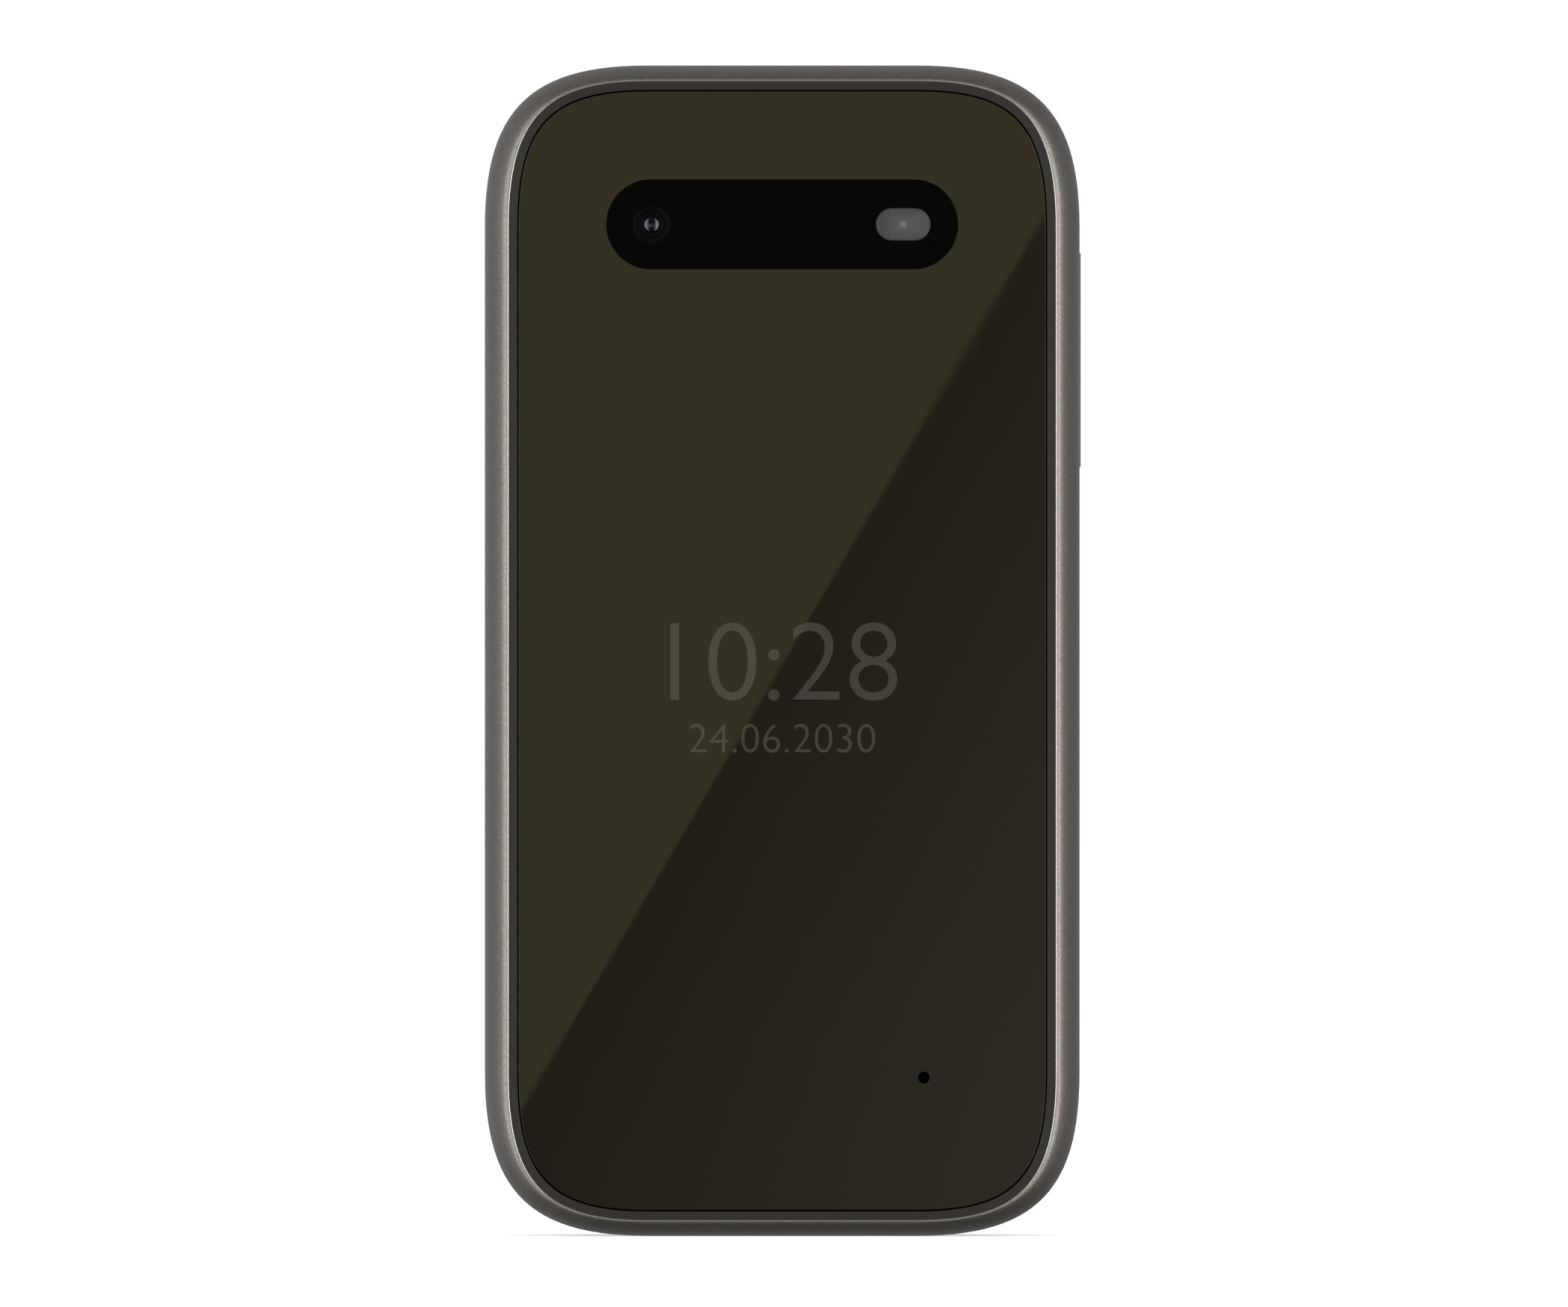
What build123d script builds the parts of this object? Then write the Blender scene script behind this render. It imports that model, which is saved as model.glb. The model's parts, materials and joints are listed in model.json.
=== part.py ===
from build123d import *
from math import cos, hypot, radians, sin
import os

# A clamshell phone, closed and standing on its bottom end, hinge end up.
# X runs across the phone, -Y points out of the lid, Z runs up to the hinge end.
# The origin lies on the bottom end, midway between lid skin and battery cover.
# All sizes are in millimetres. "Front" is towards the lid's skin, "back" towards
# the battery cover.

# ---- overall form ---------------------------------------------------------
BODY_W = 55.1              # width across the sides
BODY_H = 108.4             # length of the closed phone
BODY_T = 18.9              # closed thickness
CORNER_RUN = 15.0          # how far from each end a corner starts to bend
CORNER_PULL = 0.723        # how far the corner's curve leans into the corner
CORNER_PULL_GAIN = 0.01    # more lean for each millimetre of inset
FIT = 0.05                 # gap between pieces glued or clipped together
SLIDE_FIT = 0.15           # gap round a piece that moves in its opening
PART_GAP = 0.3             # gap between lid and base
CUT = 1.0                  # how far a cutting tool runs past the surface

# ---- lid ------------------------------------------------------------------
LID_T = 7.6
RIM_SIDE = 2.22            # width of the rounded rim, seen from the front, at the sides
RIM_END = 1.5              # the same at the two ends
RIM_DEPTH = 3.85           # how far back the rounding starts
RIM_STEPS = 4              # sections of the rounding
STRIP_W = 0.85             # sloping strip between the rim's crest and the panel
STRIP_DROP = 0.25          # how far the panel lies below the crest
CREST_LAND = 0.06          # flat along the crest, before the strip slopes down
PANEL_T = 0.8
PANEL_GAP = 0.1
BED_T = 0.6                # web of the lid frame that the panel is glued to
LID_WALL = 1.6
BEZEL_T = 1.2
BEZEL_DROP = 0.4           # the inner bezel lies below the lid's closing edge
BEZEL_LIP_W = 0.8
BEZEL_LIP_D = 2.5

# ---- camera window and what is behind it ----------------------------------
PILL_W = 32.6
PILL_H = 8.3
PILL_DOWN = 14.75          # centre below the hinge end
CAMERA_X = -12.1
LENS_R = 1.48
BARREL_SIDE_R = 2.0
CAMERA_SIDE = 6.5
CAMERA_D = 3.15
FLASH_X = 11.2
FLASH_W = 5.2
FLASH_H = 3.13
LED_SIDE = 1.6
FLASH_BOARD_W = 7.0
FLASH_BOARD_H = 4.6
FLASH_BOARD_T = 0.4
FLASH_HOLE_W = 4.4
FLASH_HOLE_H = 2.6
MIC_HOLE_R = 0.54
MIC_HOLE_X = 13.1
MIC_HOLE_UP = 14.7

# ---- displays and lid board -----------------------------------------------
OUTER_W = 31.0
OUTER_H = 39.0
OUTER_T = 1.7
OUTER_FIT = 0.1
OUTER_BELOW_MIDDLE = 3.7   # its centre lies this far below the lid's middle
INNER_INSET = 4.55         # the main display, in from the lid's sides
INNER_LOW = 15.0           # up from the bottom end
INNER_DOWN = 29.4          # and down from the hinge end
INNER_T = 1.8
WINDOW_BORDER_X = 1.25     # how far its window reaches past it
WINDOW_BORDER_Z = 2.0
WINDOW_T = 0.8
WINDOW_R = 3.0
WINDOW_LEDGE = 1.75
LID_BOARD_T = 0.8
LID_BOARD_INSET = 4.55
LID_BOARD_LOW = 15.0
LID_BOARD_DOWN = 25.9
EARPIECE_W = 15.0
EARPIECE_H = 6.0
EARPIECE_T = 2.6
EARPIECE_UP = 7.6
EARPIECE_R = 2.0
EAR_SLOT_W = 10.0
EAR_SLOT_H = 1.6
MAGNET_SIZE = (5.0, 1.5, 3.0)
MAGNET_INSET = 7.55
MAGNET_DOWN = 24.9
LID_SCREW_INSET = 7.25     # the lower lid screws, in from the sides
LID_SCREW_LOW = 6.6        # and up from the bottom end
LID_SCREW_X = 11.7         # the upper ones, out from the middle
LID_SCREW_DOWN = 22.0      # and down from the hinge end
LID_BOSS_R = 1.9
HEAD_R = 1.35
HEAD_T = 0.6
SHANK_R = 0.62
LID_SCREW_L = 3.4
BUMPER_T = 0.85

# ---- hinge ----------------------------------------------------------------
HINGE_DOWN = 4.7           # axis below the hinge end
HINGE_IN = 4.65            # axis behind the lid's crest
HINGE_CLEAR = 0.3
WEB_FROM = 236.0           # the knuckle's web, as angles round the axis
WEB_TO = 272.0
LID_WALL_END = 75.0        # where the lid's end wall stops over the knuckle
KNUCKLE_R = 2.9
KNUCKLE_INSET = 14.55      # ends of the knuckle, in from the sides
WEB_FOOT_DOWN = 8.1        # foot of the web below the axis
ARM_DOWN = 6.5             # lower end of the lid's hinge arms below the axis
NOTCH_IN = 0.8             # front of the lid's notch, ahead of the axis
CARTRIDGE_R = 2.2
CARTRIDGE_L = 11.3
CAM_HEAD_L = 5.6
SPINDLE_R = 1.1
SPINDLE_L = 8.0
SLEEVE_R = 2.0
SLEEVE_BORE_R = 1.4
SLEEVE_INSET = 8.95
SLEEVE_TO = -7.8
ROLL_R = 1.3
FLEX_W = 2.8
FLEX_T = 0.15
RUNNING_FIT = 0.05
BORE_FIT = 0.02
FLEX_ANGLE = 245.0
FLEX_LEN = 13.6

# ---- base -----------------------------------------------------------------
PLATE_T = 1.2              # key plate
BASE_WALL = 1.5
SEAM_IN = 3.45             # seam of housing and battery cover, ahead of the back
SEAM_GAP = 0.1
COVER_INSET = 5.0          # the back's flat starts this far in from the sides
COVER_STEPS = 4
COVER_T = 1.1
TAB_W = 4.8
TAB_T = 0.8
TAB_REACH = 1.0
TAB_LOW = 32.0             # side tabs, above the bottom end
TAB_DOWN = 32.4            # and below the hinge end
TAB_INSET = 14.15          # end tabs, in from the sides
DECK_DOWN = 12.0           # end of the key plate's cavity, below the hinge end
GROOVE_WALL = 1.26
CHASSIS_DEPTH = 3.35       # behind the key plate
CHASSIS_FLANGE_T = 0.6
CHASSIS_INSET = 3.4
CHASSIS_WALL = 0.8
CHASSIS_IN = 1.55          # its back, ahead of the phone's back
BASE_SCREW_INSET = 2.95
BASE_SCREW_LOW = 17.3      # lowest pair above the bottom end
BASE_SCREW_DOWN = 13.8     # highest pair below the hinge end
BASE_SCREW_DROP = 9.8      # middle pair below the call keys
POST_R = 1.15
BASE_HEAD_R = 1.0
BASE_SHANK_R = 0.5
BASE_SCREW_L = 3.6

# ---- keys -----------------------------------------------------------------
KEY_INSET = 4.85           # the block of number keys, in from the sides
KEY_GAP_X = 1.4            # plate between two keys
KEY_GAP_Z = 1.5
KEY_R = 2.2
KEY_LOW = 9.35             # foot of the lowest row above the bottom end
KEY_LAST_DROP = 27.2       # middle of the highest row below the ring's centre
KEY_ROWS = (("star", "0", "hash"), ("7", "8", "9"), ("4", "5", "6"), ("1", "2", "3"))
KEY_PROUD = 0.35
FLANGE_W = 0.45
FLANGE_T = 0.45
PLUNGER_R = 1.2
PLUNGER_L = 0.5
SIDE_KEY_INSET = 3.65      # in from the phone's sides
SIDE_KEY_GAP = 2.75        # out from the ring
SIDE_KEY_H = 8.6
SIDE_KEY_RISE = 9.6        # above or below the ring's centre
NAV_DOWN = 33.4            # the ring's centre below the hinge end
NAV_SIDE = 21.5
NAV_R = 8.0
NAV_HOLE_R = 5.4
SELECT_R = 5.15
NAV_DEPTH = 0.4            # the ring's flange lies this much deeper, so it can rock
GIMBAL_R = 6.3
GIMBAL_BORE_R = 5.5
GIMBAL_DEPTH = 1.0         # behind the key plate
GIMBAL_T = 0.2

# ---- what the base holds --------------------------------------------------
DOME_DEPTH = 1.45          # behind the key plate
DOME_T = 0.15
DOME_INSET = 4.5
DOME_LOW = 8.8
DOME_DOWN = 18.4
BOARD_T = 0.9
BOARD_INSET = 3.0
BOARD_TOP_DOWN = 12.4
POST_CLEAR = 0.5
SHIELD_SIZE = (34.0, 0.75, 26.0)
SHIELD_DOWN = 37.4
BATTERY_W = 34.6
BATTERY_LOW = 22.2         # up from the bottom end
BATTERY_DOWN = 31.6        # and down from the hinge end
BATTERY_ROOM = 0.1         # what the battery leaves of the chassis's depth
BATTERY_CLEAR = 0.2
BATTERY_R = 1.0
CONTACTS_W = 10.0
CONTACTS_H = 2.6
CONTACTS_ROOM = 1.3
PRONG_W = 1.0
PRONG_PITCH = 3.0
PRONG_L = 1.1
SPEAKER_W = 16.0
SPEAKER_H = 11.0
SPEAKER_ROOM = 1.1
SPEAKER_DOWN = 16.9
SPEAKER_R = 2.2
SLOT_L = 8.0
SLOT_W = 1.0
SLOT_PITCH = 2.6
SLOT_COUNT = 5
MESH_T = 0.2
CARD_W = 27.0
CARD_H = 14.0
CARD_T = 1.4
CARD_UP = 12.0
CARD_FLOOR_T = 0.15
MOTOR_R = 4.0
MOTOR_ROOM = 1.6
MOTOR_INSET = 12.55
MOTOR_DOWN = 17.4
PORT_W = 8.94
PORT_H = 3.2
PORT_DEPTH = 7.3
PORT_WALL = 0.3
PORT_BEHIND = 1.65         # its middle, behind the key plate
PORT_SET_BACK = 0.6
TONGUE_W = 6.7
TONGUE_T = 0.7
JACK_X = -7.8
JACK_BORE_R = 1.8
JACK_W = 5.8
JACK_T = 4.4
JACK_NOSE_WALL = 0.35
JACK_DEPTH = 14.5
JACK_END_WALL = 0.8
JACK_SET_BACK = 0.3
PAD_R = 0.9
PAD_INSETS = (17.55, 14.05)
PAD_BEHIND = 2.25          # their middle, behind the key plate
MIC_SIZE = (3.0, 1.05, 2.2)
MIC_INSET = 9.05
MIC_UP = 3.2
MIC_BORE_R = 0.5

# ---- volume rocker ----------------------------------------------------------
ROCKER_L = 19.9
ROCKER_T = 2.4
ROCKER_DOWN = 27.25
ROCKER_R = 0.8
ROCKER_PROUD = 0.14
ROCKER_BEHIND = 2.85       # its middle, behind the base's front
ROCKER_FLANGE = 0.35
ROCKER_FLANGE_T = 0.65
ROCKER_ROOM = 0.45         # the flange lies this far inside the wall, so that the rocker can tilt

# ---- places worked out from the sizes above ----------------------------------
FRONT = -BODY_T / 2
BACK = BODY_T / 2
HALF_W = BODY_W / 2
LID_BACK = FRONT + LID_T
BASE_FRONT = LID_BACK + PART_GAP
PANEL_FRONT = FRONT + STRIP_DROP
PANEL_BACK = PANEL_FRONT + PANEL_T
BED_BACK = PANEL_BACK + BED_T
BEZEL_FACE = LID_BACK - BEZEL_DROP
BEZEL_REAR = BEZEL_FACE - BEZEL_T
RIM_START = FRONT + RIM_DEPTH
HINGE_Y = FRONT + HINGE_IN
HINGE_Z = BODY_H - HINGE_DOWN
SWEEP_R = hypot(HINGE_IN, HINGE_DOWN - RIM_END)
GROOVE_R = SWEEP_R + HINGE_CLEAR
ARM_Z = HINGE_Z - ARM_DOWN
BEZEL_TOP = ARM_Z - 2 * SLIDE_FIT
KNUCKLE_HALF = HALF_W - KNUCKLE_INSET
NOTCH_HALF = KNUCKLE_HALF + HINGE_CLEAR
SLEEVE_FROM = SLEEVE_INSET - HALF_W
# lid
PILL_UP = BODY_H - PILL_DOWN
OUTER_UP = BODY_H / 2 - OUTER_BELOW_MIDDLE
INNER_W = BODY_W - 2 * INNER_INSET
INNER_H = BODY_H - INNER_LOW - INNER_DOWN
INNER_UP = INNER_LOW + INNER_H / 2
WINDOW_W = INNER_W + 2 * WINDOW_BORDER_X
WINDOW_H = INNER_H + 2 * WINDOW_BORDER_Z
LENS_BED = PANEL_BACK + FIT
LID_BOARD_Y = PANEL_BACK + OUTER_T + 2 * FIT
LID_BOARD_W = BODY_W - 2 * LID_BOARD_INSET
LID_BOARD_H = BODY_H - LID_BOARD_LOW - LID_BOARD_DOWN
LID_BOARD_UP = LID_BOARD_LOW + LID_BOARD_H / 2
MAGNET_X = HALF_W - MAGNET_INSET
MAGNET_UP = BODY_H - MAGNET_DOWN
# keys
NAV_UP = BODY_H - NAV_DOWN
SOFT_KEY_UP = NAV_UP + SIDE_KEY_RISE
CALL_KEY_UP = NAV_UP - SIDE_KEY_RISE
SIDE_KEY_W = HALF_W - SIDE_KEY_INSET - NAV_SIDE / 2 - SIDE_KEY_GAP
SIDE_KEY_X = HALF_W - SIDE_KEY_INSET - SIDE_KEY_W / 2
KEY_COLUMNS = len(KEY_ROWS[0])
KEY_W = (BODY_W - 2 * KEY_INSET - (KEY_COLUMNS - 1) * KEY_GAP_X) / KEY_COLUMNS
KEY_PITCH_X = KEY_W + KEY_GAP_X
KEY_PITCH_Z = (NAV_UP - KEY_LAST_DROP - KEY_LOW + KEY_GAP_Z / 2) / (len(KEY_ROWS) - 1 / 2)
KEY_H = KEY_PITCH_Z - KEY_GAP_Z
KEY_FIRST_UP = KEY_LOW + KEY_H / 2
# base
SEAM_Y = BACK - SEAM_IN
PLATE_BACK = BASE_FRONT + PLATE_T
DECK_TOP = BODY_H - DECK_DOWN
COVER_START = SEAM_Y + SEAM_GAP
COVER_INNER = BACK - COVER_T
TAB_UPS = (TAB_LOW, BODY_H - TAB_DOWN)
TAB_X = HALF_W - TAB_INSET
CHASSIS_Y = PLATE_BACK + CHASSIS_DEPTH
CHASSIS_FLOOR = CHASSIS_Y + CHASSIS_FLANGE_T
CHASSIS_BACK = BACK - CHASSIS_IN
CHASSIS_ROOM = CHASSIS_BACK - CHASSIS_FLOOR
BASE_SCREW_X = HALF_W - BASE_SCREW_INSET
BASE_SCREW_UPS = (BASE_SCREW_LOW, CALL_KEY_UP - BASE_SCREW_DROP, BODY_H - BASE_SCREW_DOWN)
GIMBAL_Y = PLATE_BACK + GIMBAL_DEPTH
DOME_Y = PLATE_BACK + DOME_DEPTH
BOARD_Y = DOME_Y + DOME_T
BOARD_BACK = BOARD_Y + BOARD_T
SHIELD_UP = BODY_H - SHIELD_DOWN
BATTERY_T = CHASSIS_ROOM - BATTERY_ROOM
BATTERY_H = BODY_H - BATTERY_LOW - BATTERY_DOWN
BATTERY_UP = BATTERY_LOW + BATTERY_H / 2
CONTACTS_T = CHASSIS_ROOM - CONTACTS_ROOM
SPEAKER_T = CHASSIS_ROOM - SPEAKER_ROOM
SPEAKER_UP = BODY_H - SPEAKER_DOWN
MOTOR_T = CHASSIS_ROOM - MOTOR_ROOM
MOTOR_X = HALF_W - MOTOR_INSET
MOTOR_UP = BODY_H - MOTOR_DOWN
PORT_Y = PLATE_BACK + PORT_BEHIND
JACK_NOSE_R = JACK_BORE_R + JACK_NOSE_WALL
PAD_Y = PLATE_BACK + PAD_BEHIND
MIC_X = HALF_W - MIC_INSET
ROCKER_UP = BODY_H - ROCKER_DOWN
ROCKER_Y = BASE_FRONT + ROCKER_BEHIND


# ---- shape helpers ------------------------------------------------------------
def outline(inset_x, inset_z, y):
    """The phone's outline as a wire: four straights and four corners that bend gently, then more."""
    half = BODY_W / 2 - inset_x
    low, high = inset_z, BODY_H - inset_z
    run_x, run_z = CORNER_RUN - inset_x, CORNER_RUN - inset_z
    pull = CORNER_PULL + CORNER_PULL_GAIN * (inset_x + inset_z) / 2
    edges = []
    turns = (((1, low), (0, 1)), ((1, high), (1, 0)), ((-1, high), (0, 1)), ((-1, low), (1, 0)))
    ends = []
    for (side, level), (end_first, _) in turns:
        corner = Vector(side * half, y, level)
        inward = 1 if level == low else -1
        on_end = Vector(side * (half - run_x), y, level)
        on_side = Vector(side * half, y, level + inward * run_z)
        first, last = (on_side, on_end) if end_first else (on_end, on_side)
        lean = [point + (corner - point) * pull for point in (first, last)]
        edges.append(Edge.make_bezier(first, lean[0], lean[1], last))
        ends.append((first, last))
    for here, there in zip(ends, ends[1:] + ends[:1]):
        edges.append(Edge.make_line(here[1], there[0]))
    return Wire(edges)


def slab(inset, y0, y1, inset_z=None):
    """A plate of the phone's outline from y0 to y1."""
    wire = outline(inset, inset if inset_z is None else inset_z, y0)
    return Part() + Solid.extrude(Face(wire), Vector(0, y1 - y0, 0))


def rounded_edge(inset_x, inset_z, start, depth, steps, extra=0.0):
    """A quarter-ellipse rounding of the outline: the inset grows as 1 - cos, the depth as sin."""
    wires = []
    for step in range(steps + 1):
        turn = radians(90 * step / steps)
        grown = 1 - cos(turn)
        wires.append(outline(extra + inset_x * grown, extra + inset_z * grown, start + depth * sin(turn)))
    return Part() + Solid.make_loft(wires)


def block(x0, x1, y0, y1, z0, z1):
    """A plain block between two corners."""
    return Pos((x0 + x1) / 2, (y0 + y1) / 2, (z0 + z1) / 2) * Box(x1 - x0, y1 - y0, z1 - z0)


def centred(size, x, y0, z):
    """A block of size (x, y, z) that starts at y0, centred on x and z."""
    wide, deep, high = size
    return block(x - wide / 2, x + wide / 2, y0, y0 + deep, z - high / 2, z + high / 2)


def prism(sketch, x, z, y0, y1):
    """A sketch of X and Z, carried from y0 to y1."""
    return Pos(x, y1, z) * extrude(Plane.XZ * sketch, y1 - y0)


def disc(radius, x, z, y0, y1):
    """A round piece whose axis is Y."""
    return prism(Circle(radius), x, z, y0, y1)


def rod(radius, x0, x1, y=HINGE_Y, z=HINGE_Z):
    """A round piece along X, on the hinge axis if no place is given."""
    return Pos((x0 + x1) / 2, y, z) * Rot(0, 90, 0) * Cylinder(radius, x1 - x0)


def upright(radius, x, y, z0, z1):
    """A round piece along Z."""
    return Pos(x, y, (z0 + z1) / 2) * Cylinder(radius, z1 - z0)


def side_profile(points, x0, x1):
    """A closed outline of (y, z) points, carried across from x0 to x1."""
    face = Plane.YZ * make_face(Polyline(*points, close=True))
    return Pos(x0, 0, 0) * extrude(face, x1 - x0)


def round_the_hinge(angle, radius):
    """A point (y, z) at an angle round the hinge axis: 0 points out of the lid, 90 up."""
    return HINGE_Y - radius * cos(radians(angle)), HINGE_Z + radius * sin(radians(angle))


def pad(width, height, radius, grow=0.0):
    """A rounded rectangle as a sketch, grown on all sides."""
    return RectangleRounded(width + 2 * grow, height + 2 * grow, radius + grow)


def pill(width, height, grow=0.0):
    """A rectangle with fully round ends as a sketch, grown on all sides."""
    return SlotOverall(width + 2 * grow, height + 2 * grow)


# ---- lid --------------------------------------------------------------------
def panel_insets():
    """How far in the panel's own edge lies, at the sides and at the ends."""
    return RIM_SIDE + STRIP_W + PANEL_GAP, RIM_END + STRIP_W + PANEL_GAP


def lid_shell():
    """The rim's rounded outside, with the hinge barrel bulging out of its back."""
    body = slab(0, RIM_START, LID_BACK)
    body += rounded_edge(RIM_SIDE, RIM_END, RIM_START, -RIM_DEPTH, RIM_STEPS)
    barrel = rod(SWEEP_R, -HALF_W, HALF_W) & slab(0, LID_BACK - CUT, HINGE_Y + SWEEP_R + CUT)
    return body + barrel


def strip_cutter():
    """What the sloping strip leaves out, from the crest in to the panel's gap."""
    slope = STRIP_DROP / (STRIP_W - CREST_LAND)
    wires = []
    for run in (-CUT, STRIP_W):
        wires.append(outline(RIM_SIDE + run, RIM_END + run, FRONT + (run - CREST_LAND) * slope))
    return Part() + Solid.make_loft(wires, True)


def lid_frame():
    """The lid's outer shell: rim, panel bed, screw bosses and the two hinge arms."""
    gap_x, gap_z = panel_insets()
    body = lid_shell() - strip_cutter()
    body -= slab(gap_x - PANEL_GAP, FRONT - CUT, PANEL_BACK, gap_z - PANEL_GAP)
    tray = slab(LID_WALL, BED_BACK, LID_BACK + CUT)
    body -= tray & block(-HALF_W, HALF_W, FRONT, BACK, 0, ARM_Z)
    for x, z in lid_screw_spots():
        body += disc(LID_BOSS_R, x, z, BED_BACK - FIT, BEZEL_REAR - FIT)
        body -= disc(SHANK_R + BORE_FIT, x, z, BEZEL_REAR - LID_SCREW_L, LID_BACK)
    through = (PANEL_BACK - FIT, BED_BACK + CUT)
    body -= prism(Rectangle(OUTER_W + 2 * OUTER_FIT, OUTER_H + 2 * OUTER_FIT), 0, OUTER_UP, *through)
    body -= disc(BARREL_SIDE_R + FIT, CAMERA_X, PILL_UP, *through)
    body -= prism(pill(FLASH_HOLE_W, FLASH_HOLE_H), FLASH_X, PILL_UP, *through)
    return body - hinge_room_in_lid()


def lid_screw_spots():
    low, high = (HALF_W - LID_SCREW_INSET, LID_SCREW_LOW), (LID_SCREW_X, BODY_H - LID_SCREW_DOWN)
    return [(side * x, z) for x, z in (low, high) for side in (-1, 1)]


def hinge_room_in_lid():
    """Room for the knuckle and its web, the two bores and the flex cable's channel."""
    far = BODY_H
    open_side = [
        (HINGE_Y, HINGE_Z),
        round_the_hinge(LID_WALL_END, far),
        (far, far),
        (far, ARM_Z - CUT),
        (HINGE_Y - NOTCH_IN, ARM_Z - CUT),
    ]
    room = side_profile(open_side, -NOTCH_HALF, NOTCH_HALF)
    room += rod(KNUCKLE_R + HINGE_CLEAR, -NOTCH_HALF, NOTCH_HALF)
    room += rod(CARTRIDGE_R + BORE_FIT, 0, NOTCH_HALF + CAM_HEAD_L + BORE_FIT)
    room += rod(SLEEVE_R + RUNNING_FIT, SLEEVE_FROM - FLEX_W - 2 * PART_GAP, 0)
    strip_y = HINGE_Y - ROLL_R / 2
    room += block(*lid_flex_span(SLIDE_FIT), strip_y - PART_GAP, strip_y + PART_GAP, ARM_Z - CUT, HINGE_Z)
    return room


def lid_flex_span(grow=0.0):
    """Where the lid's end of the flex cable lies across the phone."""
    return SLEEVE_FROM - PART_GAP - FLEX_W - grow, SLEEVE_FROM - PART_GAP + grow


def lid_outer_panel():
    gap_x, gap_z = panel_insets()
    body = slab(gap_x, PANEL_FRONT, PANEL_BACK, gap_z)
    body -= prism(pill(PILL_W, PILL_H, FIT), 0, PILL_UP, PANEL_FRONT - CUT, PANEL_BACK + CUT)
    return body - disc(MIC_HOLE_R, MIC_HOLE_X, MIC_HOLE_UP, PANEL_FRONT - CUT, PANEL_BACK + CUT)


def camera_window():
    body = prism(pill(PILL_W, PILL_H), 0, PILL_UP, PANEL_FRONT, PANEL_BACK)
    return body - prism(pill(FLASH_W, FLASH_H, FIT), FLASH_X, PILL_UP, PANEL_FRONT - CUT, PANEL_BACK + CUT)


def flash_lens():
    return prism(pill(FLASH_W, FLASH_H), FLASH_X, PILL_UP, PANEL_FRONT, PANEL_BACK)


def flash_board():
    body = centred((FLASH_BOARD_W, FLASH_BOARD_T, FLASH_BOARD_H), FLASH_X, BED_BACK + FIT, PILL_UP)
    return body + block(FLASH_X - LED_SIDE / 2, FLASH_X + LED_SIDE / 2, LENS_BED, BED_BACK + 2 * FIT,
                        PILL_UP - LED_SIDE / 2, PILL_UP + LED_SIDE / 2)


def camera_module():
    body = centred((CAMERA_SIDE, CAMERA_D, CAMERA_SIDE), CAMERA_X, BED_BACK + FIT, PILL_UP)
    body += disc(BARREL_SIDE_R, CAMERA_X, PILL_UP, LENS_BED, BED_BACK + 2 * FIT)
    return body - disc(LENS_R + BORE_FIT, CAMERA_X, PILL_UP, LENS_BED - CUT, BED_BACK)


def camera_lens():
    """A thin glass with a gently domed front."""
    blank = disc(LENS_R, CAMERA_X, PILL_UP, LENS_BED, BED_BACK)
    dome = Pos(CAMERA_X, LENS_BED + 2 * LENS_R, PILL_UP) * Sphere(2 * LENS_R)
    return blank & dome


def outer_display():
    return centred((OUTER_W, OUTER_T, OUTER_H), 0, PANEL_BACK + FIT, OUTER_UP)


def lid_inner_bezel():
    """The lid's inner cover: window pocket, earpiece slot, screw wells and a lip that stiffens it."""
    body = slab(LID_WALL + FIT, BEZEL_REAR, BEZEL_FACE)
    lip = slab(LID_WALL + FIT, BEZEL_REAR - BEZEL_LIP_D, BEZEL_REAR)
    body += lip - slab(LID_WALL + FIT + BEZEL_LIP_W, FRONT, BEZEL_REAR)
    body &= block(-HALF_W, HALF_W, FRONT, BACK, 0, BEZEL_TOP)
    pocket = pad(WINDOW_W, WINDOW_H, WINDOW_R, FIT)
    body -= prism(pocket, 0, INNER_UP, BEZEL_FACE - WINDOW_T, BEZEL_FACE + CUT)
    opening = pad(WINDOW_W, WINDOW_H, WINDOW_R, -WINDOW_LEDGE)
    body -= prism(opening, 0, INNER_UP, BEZEL_REAR - CUT, BEZEL_FACE)
    body -= prism(pill(EAR_SLOT_W, EAR_SLOT_H), 0, EARPIECE_UP, BEZEL_REAR - CUT, BEZEL_FACE + CUT)
    for x, z in lid_screw_spots():
        body -= disc(HEAD_R + SLIDE_FIT, x, z, BEZEL_FACE - BUMPER_T, BEZEL_FACE + CUT)
        body -= disc(SHANK_R + SLIDE_FIT, x, z, BEZEL_REAR - CUT, BEZEL_FACE)
    return body


def main_display_window():
    return prism(pad(WINDOW_W, WINDOW_H, WINDOW_R), 0, INNER_UP, BEZEL_FACE - WINDOW_T, BEZEL_FACE)


def main_display():
    return centred((INNER_W, INNER_T, INNER_H), 0, BEZEL_REAR - FIT - INNER_T, INNER_UP)


def lid_board():
    return centred((LID_BOARD_W, LID_BOARD_T, LID_BOARD_H), 0, LID_BOARD_Y, LID_BOARD_UP)


def earpiece():
    size = (EARPIECE_W, EARPIECE_T, EARPIECE_H)
    body = centred(size, 0, BEZEL_REAR - FIT - EARPIECE_T, EARPIECE_UP)
    return fillet(body.edges().filter_by(Axis.Y), EARPIECE_R)


def earpiece_mesh():
    face = BEZEL_FACE - BEZEL_T / 2
    return prism(pill(EAR_SLOT_W, EAR_SLOT_H, -FIT), 0, EARPIECE_UP, face, face + MESH_T)


def lid_magnet():
    wide, deep, high = MAGNET_SIZE
    return centred(MAGNET_SIZE, MAGNET_X, BEZEL_REAR - FIT - deep, MAGNET_UP)


def screw(x, z, seat, head_r, head_t, shank_r, length):
    """A screw along Y whose head lies behind its seat and whose shank points forward."""
    return disc(head_r, x, z, seat, seat + head_t) + disc(shank_r, x, z, seat - length, seat)


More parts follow.
